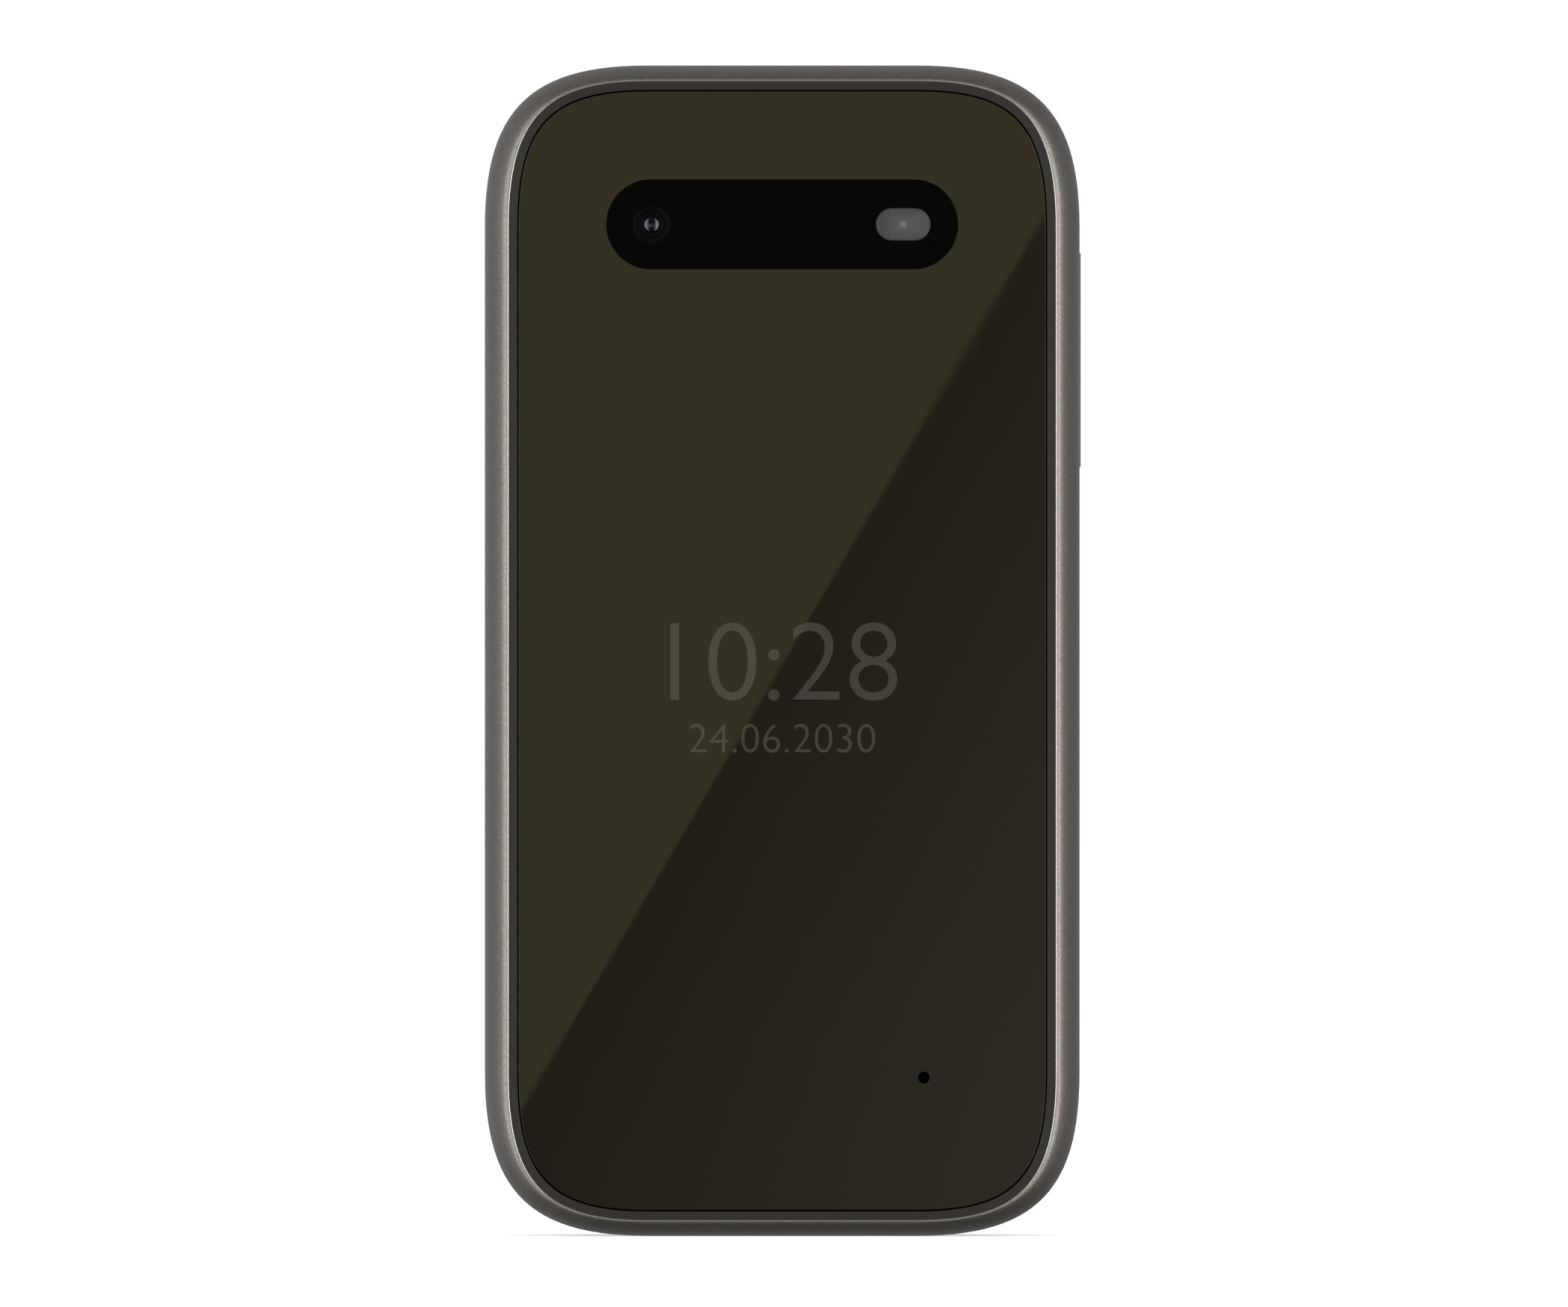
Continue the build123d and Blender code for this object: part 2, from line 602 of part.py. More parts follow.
def lid_screws():
    seat = BEZEL_FACE - BUMPER_T
    group = Part()
    for x, z in lid_screw_spots():
        group += screw(x, z, seat, HEAD_R, HEAD_T, SHANK_R, LID_SCREW_L)
    return group


def lid_bumpers():
    """Rubber buffers that hide the lid's screws and meet the base when the lid closes."""
    group = Part()
    for x, z in lid_screw_spots():
        group += disc(HEAD_R, x, z, BEZEL_FACE - BUMPER_T + HEAD_T + FIT, BASE_FRONT - FIT)
    return group


# ---- hinge ------------------------------------------------------------------
def hinge_cartridge():
    """The sprung cam cartridge, fixed in the knuckle, with a bore for the cam head's spindle."""
    end = KNUCKLE_HALF - BORE_FIT
    body = rod(CARTRIDGE_R, end - CARTRIDGE_L, end)
    return body - rod(SPINDLE_R + RUNNING_FIT, end - SPINDLE_L - PART_GAP, end + CUT)


def hinge_cam_head():
    """The cam head, locked in the lid's arm, with its spindle in the cartridge."""
    inner = NOTCH_HALF
    body = rod(CARTRIDGE_R, inner, inner + CAM_HEAD_L)
    return body + rod(SPINDLE_R, KNUCKLE_HALF - SPINDLE_L, inner + CUT)


def hinge_sleeve():
    """The hollow pin of the other side, fixed in the knuckle and running in the lid's arm."""
    return rod(SLEEVE_R, SLEEVE_FROM, SLEEVE_TO) - rod(SLEEVE_BORE_R, SLEEVE_FROM - CUT, SLEEVE_TO + CUT)


def lid_flex():
    """The flex cable's lid end: its plug on the lid board, a strip up and the start of its roll."""
    x0, x1 = lid_flex_span()
    strip_y = HINGE_Y - ROLL_R / 2
    low = LID_BOARD_UP + LID_BOARD_H / 2 - FLEX_W
    body = block(x0, x1, strip_y, strip_y + FLEX_T, low, HINGE_Z)
    body += block(x0, x1, LID_BOARD_Y + LID_BOARD_T, strip_y + FLEX_T, low, low + FLEX_W)
    return body + rod(ROLL_R, x0, x1)


def base_flex():
    """The flex cable's base end: rolled up inside the sleeve, then down through the web."""
    x1 = SLEEVE_TO + PART_GAP + FLEX_W
    body = rod(ROLL_R, SLEEVE_FROM + PART_GAP, x1)
    return body + flex_strip(FLEX_T, FLEX_LEN, x1 - FLEX_W, x1)


def flex_strip(thick, length, x0, x1):
    """A straight strip from the hinge axis down through the web."""
    strip = block(x0, x1, -thick / 2, thick / 2, -length, 0)
    return Pos(0, HINGE_Y, HINGE_Z) * Rot(270 - FLEX_ANGLE, 0, 0) * strip


def knuckle():
    """The base's hinge knuckle and the web that carries it."""
    half = KNUCKLE_HALF
    foot = HINGE_Z - WEB_FOOT_DOWN
    inside = BASE_FRONT + PLATE_T / 2
    web = side_profile(
        [
            (HINGE_Y, HINGE_Z),
            round_the_hinge(WEB_FROM, GROOVE_R + PLATE_T / 2),
            (inside, foot),
            round_the_hinge(WEB_TO, KNUCKLE_R),
        ],
        -half,
        half,
    )
    return web + rod(KNUCKLE_R, -half, half)


def knuckle_bores():
    """The bores for cartridge and sleeve, and the slot for the flex cable."""
    flex_end = SLEEVE_TO + PART_GAP + FLEX_W + SLIDE_FIT
    end = KNUCKLE_HALF - BORE_FIT - CARTRIDGE_L
    room = rod(CARTRIDGE_R + BORE_FIT, end - BORE_FIT, KNUCKLE_HALF + CUT)
    room += rod(SLEEVE_R + BORE_FIT, -KNUCKLE_HALF - CUT, flex_end)
    return room + flex_strip(4 * FLEX_T, FLEX_LEN, flex_end - FLEX_W - 2 * SLIDE_FIT, flex_end)


# ---- base housings ------------------------------------------------------------
def key_list():
    """Every pushed key: name, sketch, x, z."""
    keys = []
    for row, names in enumerate(KEY_ROWS):
        for column, name in enumerate(names):
            x, z = (column - 1) * KEY_PITCH_X, KEY_FIRST_UP + row * KEY_PITCH_Z
            keys.append((f"key_{name}", "number", x, z))
    for side, soft, call in ((-1, "soft_key_left", "call_key"), (1, "soft_key_right", "end_key")):
        keys.append((soft, "side", side * SIDE_KEY_X, SOFT_KEY_UP))
        keys.append((call, "side", side * SIDE_KEY_X, CALL_KEY_UP))
    return keys


def key_sketch(kind, grow=0.0):
    """A key cap's outline, grown on all sides."""
    width, height = (KEY_W, KEY_H) if kind == "number" else (SIDE_KEY_W, SIDE_KEY_H)
    return pad(width, height, KEY_R, grow)


def base_front_housing():
    """The base's front half: key plate, side walls, hinge groove, knuckle and screw posts."""
    body = slab(0, BASE_FRONT, SEAM_Y)
    body -= rod(GROOVE_R, -BODY_W, BODY_W)
    cavity = slab(BASE_WALL, PLATE_BACK, SEAM_Y + CUT) & block(-HALF_W, HALF_W, FRONT, BACK, 0, DECK_TOP)
    cavity += slab(BASE_WALL, HINGE_Y + GROOVE_R + GROOVE_WALL, SEAM_Y + CUT)
    body -= cavity
    body += knuckle()
    body -= knuckle_bores()
    for _, kind, x, z in key_list():
        body -= prism(key_sketch(kind, SLIDE_FIT), x, z, BASE_FRONT - CUT, PLATE_BACK + CUT)
    body -= prism(pad(NAV_SIDE, NAV_SIDE, NAV_R, SLIDE_FIT), 0, NAV_UP, BASE_FRONT - CUT, PLATE_BACK + CUT)
    for x, z in base_screw_spots():
        body += disc(POST_R, x, z, PLATE_BACK - FIT, CHASSIS_Y - FIT)
        body -= disc(BASE_SHANK_R + BORE_FIT, x, z, CHASSIS_FLOOR - BASE_SCREW_L - FIT, CHASSIS_Y)
    return body - bottom_openings() - rocker_opening()


def base_screw_spots():
    return [(side * BASE_SCREW_X, up) for side in (-1, 1) for up in BASE_SCREW_UPS]


def bottom_openings():
    """The holes in the bottom wall: charging port, headset jack, cradle contacts, microphone."""
    through = BASE_WALL + CUT
    port = extrude(Pos(0, PORT_Y) * pill(PORT_W, PORT_H, SLIDE_FIT), through)
    holes = Pos(0, 0, -CUT / 2) * port
    holes += upright(JACK_NOSE_R + BORE_FIT, JACK_X, jack_y(), -CUT, through)
    for inset in PAD_INSETS:
        holes += upright(PAD_R + BORE_FIT, HALF_W - inset, PAD_Y, -CUT, through)
    return holes + upright(MIC_BORE_R, MIC_X, mic_y() + MIC_SIZE[1] / 2, -CUT, through)


def rocker_opening():
    """The slot in the right-hand wall for the volume rocker."""
    long, wide = ROCKER_L / 2 + SLIDE_FIT, ROCKER_T / 2 + SLIDE_FIT
    return block(HALF_W - BASE_WALL - CUT, HALF_W + CUT, ROCKER_Y - wide, ROCKER_Y + wide,
                 ROCKER_UP - long, ROCKER_UP + long)


def battery_bay(grow):
    """The block of space that the battery lies in, grown on its four sides."""
    wide, high = BATTERY_W / 2 + BATTERY_CLEAR + grow, BATTERY_H / 2 + BATTERY_CLEAR + grow
    return block(-wide, wide, CHASSIS_FLOOR, CHASSIS_BACK + CUT, BATTERY_UP - high, BATTERY_UP + high)


def well(width, height, x, z, floor, grow):
    """A rectangular well that is open to the back."""
    half_w, half_h = width / 2 + SLIDE_FIT + grow, height / 2 + SLIDE_FIT + grow
    return block(x - half_w, x + half_w, floor - grow, CHASSIS_BACK + CUT, z - half_h, z + half_h)


def chassis_wells(grow):
    """The speaker's and card holder's wells."""
    speaker = well(SPEAKER_W, SPEAKER_H, 0, SPEAKER_UP, CHASSIS_BACK - SPEAKER_T - PART_GAP, grow)
    return speaker + well(CARD_W, CARD_H, 0, CARD_UP, CHASSIS_BACK - CARD_T - PART_GAP, grow)


def base_rear_chassis():
    """The inner frame behind the boards: a thin-walled tray with wells for what the back gives access to."""
    body = slab(LID_WALL, CHASSIS_Y, CHASSIS_FLOOR) + slab(CHASSIS_INSET, CHASSIS_FLOOR - FIT, CHASSIS_BACK)
    hollow = slab(CHASSIS_INSET + CHASSIS_WALL, CHASSIS_Y - CUT, CHASSIS_BACK - CHASSIS_WALL)
    keep = battery_bay(CHASSIS_WALL) + chassis_wells(CHASSIS_WALL)
    wide, high = BATTERY_W / 2 + CHASSIS_WALL, BATTERY_H / 2 + CHASSIS_WALL
    floor = block(-wide, wide, CHASSIS_Y, CHASSIS_FLOOR, BATTERY_UP - high, BATTERY_UP + high)
    body = body - (hollow - keep - floor) - battery_bay(0) - chassis_wells(0)
    contacts = CONTACTS_W / 2 + SLIDE_FIT
    above = BATTERY_UP + BATTERY_H / 2
    body -= block(-contacts, contacts, CHASSIS_FLOOR, CHASSIS_FLOOR + CONTACTS_T + 2 * FIT,
                  above, above + PRONG_L + CONTACTS_H + SLIDE_FIT)
    for x, z in base_screw_spots():
        body -= disc(BASE_HEAD_R + SLIDE_FIT, x, z, CHASSIS_FLOOR, CHASSIS_BACK + CUT)
        body -= disc(BASE_SHANK_R + SLIDE_FIT, x, z, CHASSIS_Y - CUT, CHASSIS_FLOOR + CUT)
    jack_half = JACK_W / 2 + SLIDE_FIT
    return body - block(JACK_X - jack_half, JACK_X + jack_half, CHASSIS_Y - CUT,
                        jack_y() + JACK_T / 2 + SLIDE_FIT, 0, JACK_SET_BACK + JACK_DEPTH + SLIDE_FIT)


def cover_shell(extra, back):
    """The cover's rounded form, shrunk by extra on its sides, up to its back."""
    return rounded_edge(COVER_INSET, COVER_INSET, COVER_START, back - COVER_START, COVER_STEPS, extra)


def battery_cover():
    """The back cover: a rounded shell with speaker slots and tabs that clip inside the front housing."""
    body = cover_shell(0, BACK) - cover_shell(COVER_T, COVER_INNER)
    body -= slab(COVER_T, COVER_START - CUT, COVER_START + FIT)
    for index in range(SLOT_COUNT):
        x = (index - (SLOT_COUNT - 1) / 2) * SLOT_PITCH
        body -= prism(pill(SLOT_L, SLOT_W).rotate(Axis.Z, 90), x, SPEAKER_UP, COVER_INNER - CUT, BACK + CUT)
    outer = HALF_W - BASE_WALL - SLIDE_FIT
    deep = (COVER_START - TAB_REACH, COVER_START + COVER_T)
    for side in (-1, 1):
        for up in TAB_UPS:
            x0, x1 = sorted((side * (outer - TAB_T), side * outer))
            body += block(x0, x1, *deep, up - TAB_W / 2, up + TAB_W / 2)
        for level in (BASE_WALL + SLIDE_FIT, BODY_H - BASE_WALL - SLIDE_FIT - TAB_T):
            middle = side * TAB_X
            body += block(middle - TAB_W / 2, middle + TAB_W / 2, *deep, level, level + TAB_T)
    return body


def speaker_mesh():
    wide = SLOT_PITCH * (SLOT_COUNT - 1) + 2 * SLOT_W
    return centred((wide, MESH_T, SLOT_L + SLOT_W), 0, COVER_INNER - MESH_T, SPEAKER_UP)


# ---- keys ---------------------------------------------------------------------
def push_key(kind, x, z):
    """A key: cap through the plate, flange behind it, plunger over its dome."""
    under = PLATE_BACK + FIT
    body = prism(key_sketch(kind), x, z, BASE_FRONT - KEY_PROUD, under)
    body = chamfer(body.faces().sort_by(Axis.Y)[0].edges(), KEY_PROUD / 2)
    body += prism(key_sketch(kind, FLANGE_W), x, z, under, under + FLANGE_T)
    return body + disc(PLUNGER_R, x, z, under + FLANGE_T, under + FLANGE_T + PLUNGER_L)


def nav_ring():
    """The four-way ring: its flange lies deeper than the keys' so that it can rock each way."""
    under = PLATE_BACK + NAV_DEPTH
    body = prism(pad(NAV_SIDE, NAV_SIDE, NAV_R), 0, NAV_UP, BASE_FRONT - KEY_PROUD, under)
    body = chamfer(body.faces().sort_by(Axis.Y)[0].edges(), KEY_PROUD / 2)
    body += prism(pad(NAV_SIDE, NAV_SIDE, NAV_R, FLANGE_W), 0, NAV_UP, under, under + FLANGE_T - FIT)
    return body - disc(NAV_HOLE_R, 0, NAV_UP, BASE_FRONT - KEY_PROUD - CUT, under + FLANGE_T + CUT)


def nav_gimbal():
    """The thin ring that the four-way ring rocks on."""
    ring = disc(GIMBAL_R, 0, NAV_UP, GIMBAL_Y, GIMBAL_Y + GIMBAL_T)
    return ring - disc(GIMBAL_BORE_R, 0, NAV_UP, GIMBAL_Y - CUT, GIMBAL_Y + GIMBAL_T + CUT)


def select_key():
    """The round key in the middle, with its plunger over its dome."""
    under = PLATE_BACK + FIT
    body = disc(SELECT_R, 0, NAV_UP, BASE_FRONT - KEY_PROUD, under + FLANGE_T)
    body = chamfer(body.faces().sort_by(Axis.Y)[0].edges(), KEY_PROUD / 2)
    return body + disc(PLUNGER_R, 0, NAV_UP, under + FLANGE_T, under + FLANGE_T + PLUNGER_L)


def volume_rocker():
    """A see-saw key: its cap in the side wall and a flange inside."""
    inner = HALF_W - BASE_WALL - ROCKER_ROOM
    half_l, half_t = ROCKER_L / 2, ROCKER_T / 2
    cap = block(inner, HALF_W + ROCKER_PROUD, ROCKER_Y - half_t, ROCKER_Y + half_t,
                ROCKER_UP - half_l, ROCKER_UP + half_l)
    cap = fillet(cap.edges().filter_by(Axis.X), ROCKER_R)
    more = ROCKER_FLANGE
    flange = block(inner - ROCKER_FLANGE_T, inner, ROCKER_Y - half_t - more, ROCKER_Y + half_t + more,
                   ROCKER_UP - half_l - more, ROCKER_UP + half_l + more)
    return cap + flange


# ---- what the base holds --------------------------------------------------------
def dome_sheet():
    body = slab(DOME_INSET, DOME_Y, BOARD_Y)
    return body & block(-HALF_W, HALF_W, FRONT, BACK, DOME_LOW, BODY_H - DOME_DOWN)


def jack_y():
    """The headset jack lies just behind the dome sheet."""
    return BOARD_Y + FIT + JACK_T / 2


def mic_y():
    """The microphone lies on the front of the main board."""
    return BOARD_Y - FIT - MIC_SIZE[1]


def main_board():
    body = slab(BOARD_INSET, BOARD_Y, BOARD_BACK)
    body &= block(-HALF_W, HALF_W, FRONT, BACK, 0, BODY_H - BOARD_TOP_DOWN)
    for x, z in base_screw_spots():
        body -= disc(POST_R + POST_CLEAR, x, z, DOME_Y, CHASSIS_Y)
    port_half = PORT_W / 2 + PART_GAP
    body -= block(-port_half, port_half, DOME_Y, CHASSIS_Y, 0, PORT_SET_BACK + PORT_DEPTH + PART_GAP)
    jack_half = JACK_W / 2 + SLIDE_FIT
    return body - block(JACK_X - jack_half, JACK_X + jack_half, DOME_Y, CHASSIS_Y, 0,
                        JACK_SET_BACK + JACK_DEPTH + SLIDE_FIT)


def shield_can():
    body = centred(SHIELD_SIZE, 0, BOARD_BACK + FIT, SHIELD_UP)
    return chamfer(body.faces().sort_by(Axis.Y)[-1].edges(), SHIELD_SIZE[1] / 3)


def battery():
    body = centred((BATTERY_W, BATTERY_T, BATTERY_H), 0, CHASSIS_FLOOR + FIT, BATTERY_UP)
    return fillet(body.edges().filter_by(Axis.Y), BATTERY_R)


def battery_contacts():
    """A small block above the battery with three sprung prongs that reach its end."""
    top_of_battery = BATTERY_UP + BATTERY_H / 2
    low = top_of_battery + PRONG_L
    body = block(-CONTACTS_W / 2, CONTACTS_W / 2, CHASSIS_FLOOR + FIT, CHASSIS_FLOOR + FIT + CONTACTS_T,
                 low, low + CONTACTS_H)
    for index in (-1, 0, 1):
        x, y = index * PRONG_PITCH, CHASSIS_FLOOR + CONTACTS_T / 2
        body += block(x - PRONG_W / 2, x + PRONG_W / 2, y - PRONG_W / 2, y + PRONG_W / 2,
                      top_of_battery + FIT, low + FIT)
    return body


def loudspeaker():
    size = (SPEAKER_W, SPEAKER_T, SPEAKER_H)
    body = centred(size, 0, CHASSIS_BACK - SPEAKER_T - PART_GAP + FIT, SPEAKER_UP)
    return fillet(body.edges().filter_by(Axis.Y), SPEAKER_R)


def card_holder():
    size = (CARD_W, CARD_T, CARD_H)
    body = centred(size, 0, CHASSIS_BACK - CARD_T - PART_GAP + FIT, CARD_UP)
    inner = (CARD_W - 2 * CARD_T, CARD_T, CARD_H)
    return body - centred(inner, 0, CHASSIS_BACK - CARD_T - PART_GAP + FIT + CARD_FLOOR_T,
                          CARD_UP - CARD_T)


def vibration_motor():
    back = CHASSIS_BACK - CHASSIS_WALL - FIT
    return disc(MOTOR_R, MOTOR_X, MOTOR_UP, back - MOTOR_T, back)


def port_connector():
    """The charging port: a rounded shell with its tongue."""
    shell = extrude(Pos(0, PORT_Y) * pill(PORT_W, PORT_H), PORT_DEPTH)
    shell -= extrude(Pos(0, PORT_Y) * pill(PORT_W, PORT_H, -PORT_WALL), PORT_DEPTH - PORT_WALL)
    tongue = extrude(Pos(0, PORT_Y) * Rectangle(TONGUE_W, TONGUE_T), PORT_DEPTH - 3 * PORT_WALL)
    return Pos(0, 0, PORT_SET_BACK) * (shell + Pos(0, 0, 2 * PORT_WALL) * tongue)


def headset_jack():
    """A block with a round nose that fills the housing's hole, bored for the plug."""
    half = JACK_W / 2
    y = jack_y()
    end = JACK_SET_BACK + JACK_DEPTH
    body = block(JACK_X - half, JACK_X + half, y - JACK_T / 2, y + JACK_T / 2, BASE_WALL + FIT, end)
    body += upright(JACK_NOSE_R, JACK_X, y, JACK_SET_BACK, BASE_WALL + CUT)
    return body - upright(JACK_BORE_R, JACK_X, y, 0, end - JACK_END_WALL)


def cradle_contacts():
    group = Part()
    for inset in PAD_INSETS:
        group += upright(PAD_R, HALF_W - inset, PAD_Y, 0, BASE_WALL + PAD_R)
    return group


def base_microphone():
    wide, deep, high = MIC_SIZE
    return block(MIC_X - wide / 2, MIC_X + wide / 2, mic_y(), mic_y() + deep, MIC_UP, MIC_UP + high)


def base_screws():
    group = Part()
    for x, z in base_screw_spots():
        group += screw(x, z, CHASSIS_FLOOR, BASE_HEAD_R, HEAD_T, BASE_SHANK_R, BASE_SCREW_L)
    return group


# ---- write every sub-part ---------------------------------------------------------
def all_parts():
    parts = {
        "lid_frame": lid_frame(),
        "lid_outer_panel": lid_outer_panel(),
        "camera_window": camera_window(),
        "camera_lens": camera_lens(),
        "camera_module": camera_module(),
        "flash_lens": flash_lens(),
        "flash_board": flash_board(),
        "outer_display": outer_display(),
        "lid_inner_bezel": lid_inner_bezel(),
        "main_display_window": main_display_window(),
        "main_display": main_display(),
        "lid_board": lid_board(),
        "earpiece": earpiece(),
        "earpiece_mesh": earpiece_mesh(),
        "lid_magnet": lid_magnet(),
        "lid_screws": lid_screws(),
        "lid_bumpers": lid_bumpers(),
        "hinge_cam_head": hinge_cam_head(),
        "lid_flex": lid_flex(),
        "hinge_cartridge": hinge_cartridge(),
        "hinge_sleeve": hinge_sleeve(),
        "base_flex": base_flex(),
        "base_front_housing": base_front_housing(),
        "base_rear_chassis": base_rear_chassis(),
        "battery_cover": battery_cover(),
        "speaker_mesh": speaker_mesh(),
        "nav_ring": nav_ring(),
        "nav_gimbal": nav_gimbal(),
        "select_key": select_key(),
        "volume_rocker": volume_rocker(),
        "dome_sheet": dome_sheet(),
        "main_board": main_board(),
        "shield_can": shield_can(),
        "battery": battery(),
        "battery_contacts": battery_contacts(),
        "loudspeaker": loudspeaker(),
        "card_holder": card_holder(),
        "vibration_motor": vibration_motor(),
        "port_connector": port_connector(),
        "headset_jack": headset_jack(),
        "cradle_contacts": cradle_contacts(),
        "base_microphone": base_microphone(),
        "base_screws": base_screws(),
    }
    for name, kind, x, z in key_list():
        parts[name] = push_key(kind, x, z)
    return parts


os.makedirs("parts", exist_ok=True)
for node, shape in all_parts().items():
    export_step(shape, f"parts/{node}.step")
    print(f"{node}: {len(shape.solids())} solid(s), {shape.volume:.1f} mm3")
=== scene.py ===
import json

import bmesh
import bpy
import numpy as np
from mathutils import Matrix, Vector


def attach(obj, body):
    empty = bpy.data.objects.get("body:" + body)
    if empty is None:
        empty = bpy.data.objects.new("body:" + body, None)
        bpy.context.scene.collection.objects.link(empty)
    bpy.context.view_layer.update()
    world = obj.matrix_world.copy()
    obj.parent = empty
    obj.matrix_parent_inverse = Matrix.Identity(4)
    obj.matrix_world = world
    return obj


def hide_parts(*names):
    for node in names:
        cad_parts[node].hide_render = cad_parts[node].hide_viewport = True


# A closed clamshell phone stands on its bottom end, lid towards -Y, hinge end up.
# Lengths in this file are in millimetres and are turned to metres when a mesh is made.

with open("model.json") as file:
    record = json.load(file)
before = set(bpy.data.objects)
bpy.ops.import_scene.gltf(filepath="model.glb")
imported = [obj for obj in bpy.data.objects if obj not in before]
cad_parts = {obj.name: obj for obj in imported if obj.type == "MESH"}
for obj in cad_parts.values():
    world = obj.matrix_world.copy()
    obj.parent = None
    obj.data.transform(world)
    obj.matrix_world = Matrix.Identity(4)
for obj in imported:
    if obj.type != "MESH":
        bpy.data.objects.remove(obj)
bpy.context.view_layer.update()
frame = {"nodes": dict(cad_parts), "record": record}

MM = 0.001
BODY_W, BODY_H = 55.1, 108.4
HALF_W = BODY_W / 2
CORNER_RUN, CORNER_PULL, PULL_GAIN = 15.0, 0.723, 0.01  # length of a corner, its lean, and more lean per mm of inset
# Places along Y, front to back: crest, panel, bed, start of the rim's rounding, hinge axis, lid's closing edge.
FRONT, PANEL_FRONT, PANEL_BACK, BED_BACK, RIM_START, HINGE_Y, LID_BACK = -9.45, -9.2, -8.4, -7.8, -5.6, -4.8, -1.85
# Insets from the sides (X) and from the ends (Z): rim's width, strip's foot, panel's edge.
RIM_X, RIM_Z, FOOT_X, FOOT_Z, PANEL_X, PANEL_Z = 2.14, 1.45, 3.03, 2.31, 3.17, 2.45
RIM_DEPTH, CREST_LAND, LID_WALL = 3.85, 0.05, 1.6
HINGE_Z, ARM_Z = 103.7, 97.2  # the axis, and the lower end of the lid's arms
BARREL_R, NOTCH_HALF, KNUCKLE_R, HINGE_CLEAR = 5.64, 13.3, 2.9, 0.3
PILL_W, PILL_H, PILL_UP = 32.6, 8.3, 93.65
CAMERA_X, FLASH_X, FLASH_W, FLASH_H = -12.1, 11.2, 5.2, 3.13
MIC_X, MIC_Z, MIC_R = 13.1, 14.7, 0.54
KEY_TOP, KEY_UNDER, KEY_R = -1.9, -0.3, 2.2
KEY_W, KEY_H, KEY_PITCH_X, KEY_PITCH_Z, KEY_FIRST_UP = 14.2, 9.7, 15.6, 11.2, 14.2
SIDE_KEY_W, SIDE_KEY_H, SIDE_KEY_X, SOFT_KEY_UP, CALL_KEY_UP = 10.4, 8.6, 18.7, 84.6, 65.4
NAV_UP, NAV_SIDE, NAV_R, NAV_HOLE_R, NAV_DOT_OUT, SELECT_R = 75.0, 21.5, 8.0, 5.4, 8.2, 5.15
ROCKER_Y, ROCKER_UP, ROCKER_L, ROCKER_T, ROCKER_PROUD = 1.3, 81.15, 19.9, 2.4, 0.14
AIM = Vector((0, 0, 0.054))  # in metres: what walls, lamps and camera are set round

LOOKS = {}
BODY_OF = {node: body for body, nodes in frame["record"]["behaviour"]["bodies"].items() for node in nodes}
SLOT_OF = {part["node"]: part["material_slot"] for part in frame["record"]["subparts"]}


# ---- rings and profiles ---------------------------------------------------------

def mirrored(x, z):
    """A quarter of a ring, mirrored into the other three quarters: (x, z), (-x, z), (-x, -z), (x, -z)."""
    return np.hstack([x, -x[:, ::-1], -x, x[:, ::-1]]), np.hstack([z, z[:, ::-1], -z, -z[:, ::-1]])


def outline(inset_x, inset_z, steps=28):
    """The phone's rounded oblong in X and Z, one row of points for each pair of insets.

    Every corner is a cubic curve P = (1-t)^3 A + 3(1-t)^2 t B + 3(1-t) t^2 C + t^3 D from A on the side
    to D on the end; B and C lie on the way from A and D to the corner, by the share "pull".
    """
    inset_x, inset_z = np.broadcast_arrays(np.atleast_1d(inset_x), np.atleast_1d(inset_z))
    half = (HALF_W - inset_x)[:, None]
    tall = (BODY_H / 2 - inset_z)[:, None]
    run_x = (CORNER_RUN - inset_x)[:, None]
    run_z = (CORNER_RUN - inset_z)[:, None]
    pull = (CORNER_PULL + PULL_GAIN * (inset_x + inset_z) / 2)[:, None]
    t = np.linspace(0, 1, steps)[None, :]
    a, b, c, d = (1 - t) ** 3, 3 * (1 - t) ** 2 * t, 3 * (1 - t) * t ** 2, t ** 3
    x = a * half + b * half + c * (half - run_x * (1 - pull)) + d * (half - run_x)
    z = a * (tall - run_z) + b * (tall - run_z * (1 - pull)) + c * tall + d * tall
    ring_x, ring_z = mirrored(x, z)
    return ring_x, ring_z + BODY_H / 2


def oblong_rings(profile):
    """The phone's outline carried along a profile of (inset at the sides, inset at the ends, y)."""
    inset_x, inset_z, y = np.array(profile, float).T
    x, z = outline(inset_x, inset_z)
    return np.stack([x, np.broadcast_to(y[:, None], x.shape), z], -1)


def pad_rings(profile, width, height, radius, x, z, steps=9, sideways=False):
    """A rounded rectangle carried along a profile of (growth, depth); each corner is a quarter circle
    (cos t, sin t) of the radius plus the growth. Depth runs along Y, or along X if sideways."""
    grow, depth = np.array(profile, float).T
    t = np.linspace(0, np.pi / 2, steps)[None, :]
    bend = np.maximum(radius + grow, 0.03)[:, None]
    half_u, half_v = (width / 2 + grow)[:, None], (height / 2 + grow)[:, None]
    u, v = mirrored(half_u - bend + bend * np.cos(t), half_v - bend + bend * np.sin(t))
    deep = np.broadcast_to(depth[:, None], u.shape)
    return np.stack([deep, u + x, v + z] if sideways else [u + x, deep, v + z], -1)


def rod_rings(profile, y=HINGE_Y, z=HINGE_Z, steps=96):
    """A round piece along X: circles (r cos t, r sin t) at each (radius, x) of the profile."""
    radius, x = np.array(profile, float).T
    t = np.linspace(0, 2 * np.pi, steps, endpoint=False)[None, :]
    ring_y = y + radius[:, None] * np.cos(t)
    ring_z = z + radius[:, None] * np.sin(t)
    return np.stack([np.broadcast_to(x[:, None], ring_y.shape), ring_y, ring_z], -1)


def side_rings(points, x0, x1):
    """A closed outline of (y, z) points, carried across from x0 to x1."""
    y, z = np.array(points, float).T
    return np.stack([np.stack([np.full_like(y, x), y, z], -1) for x in (x0, x1)])


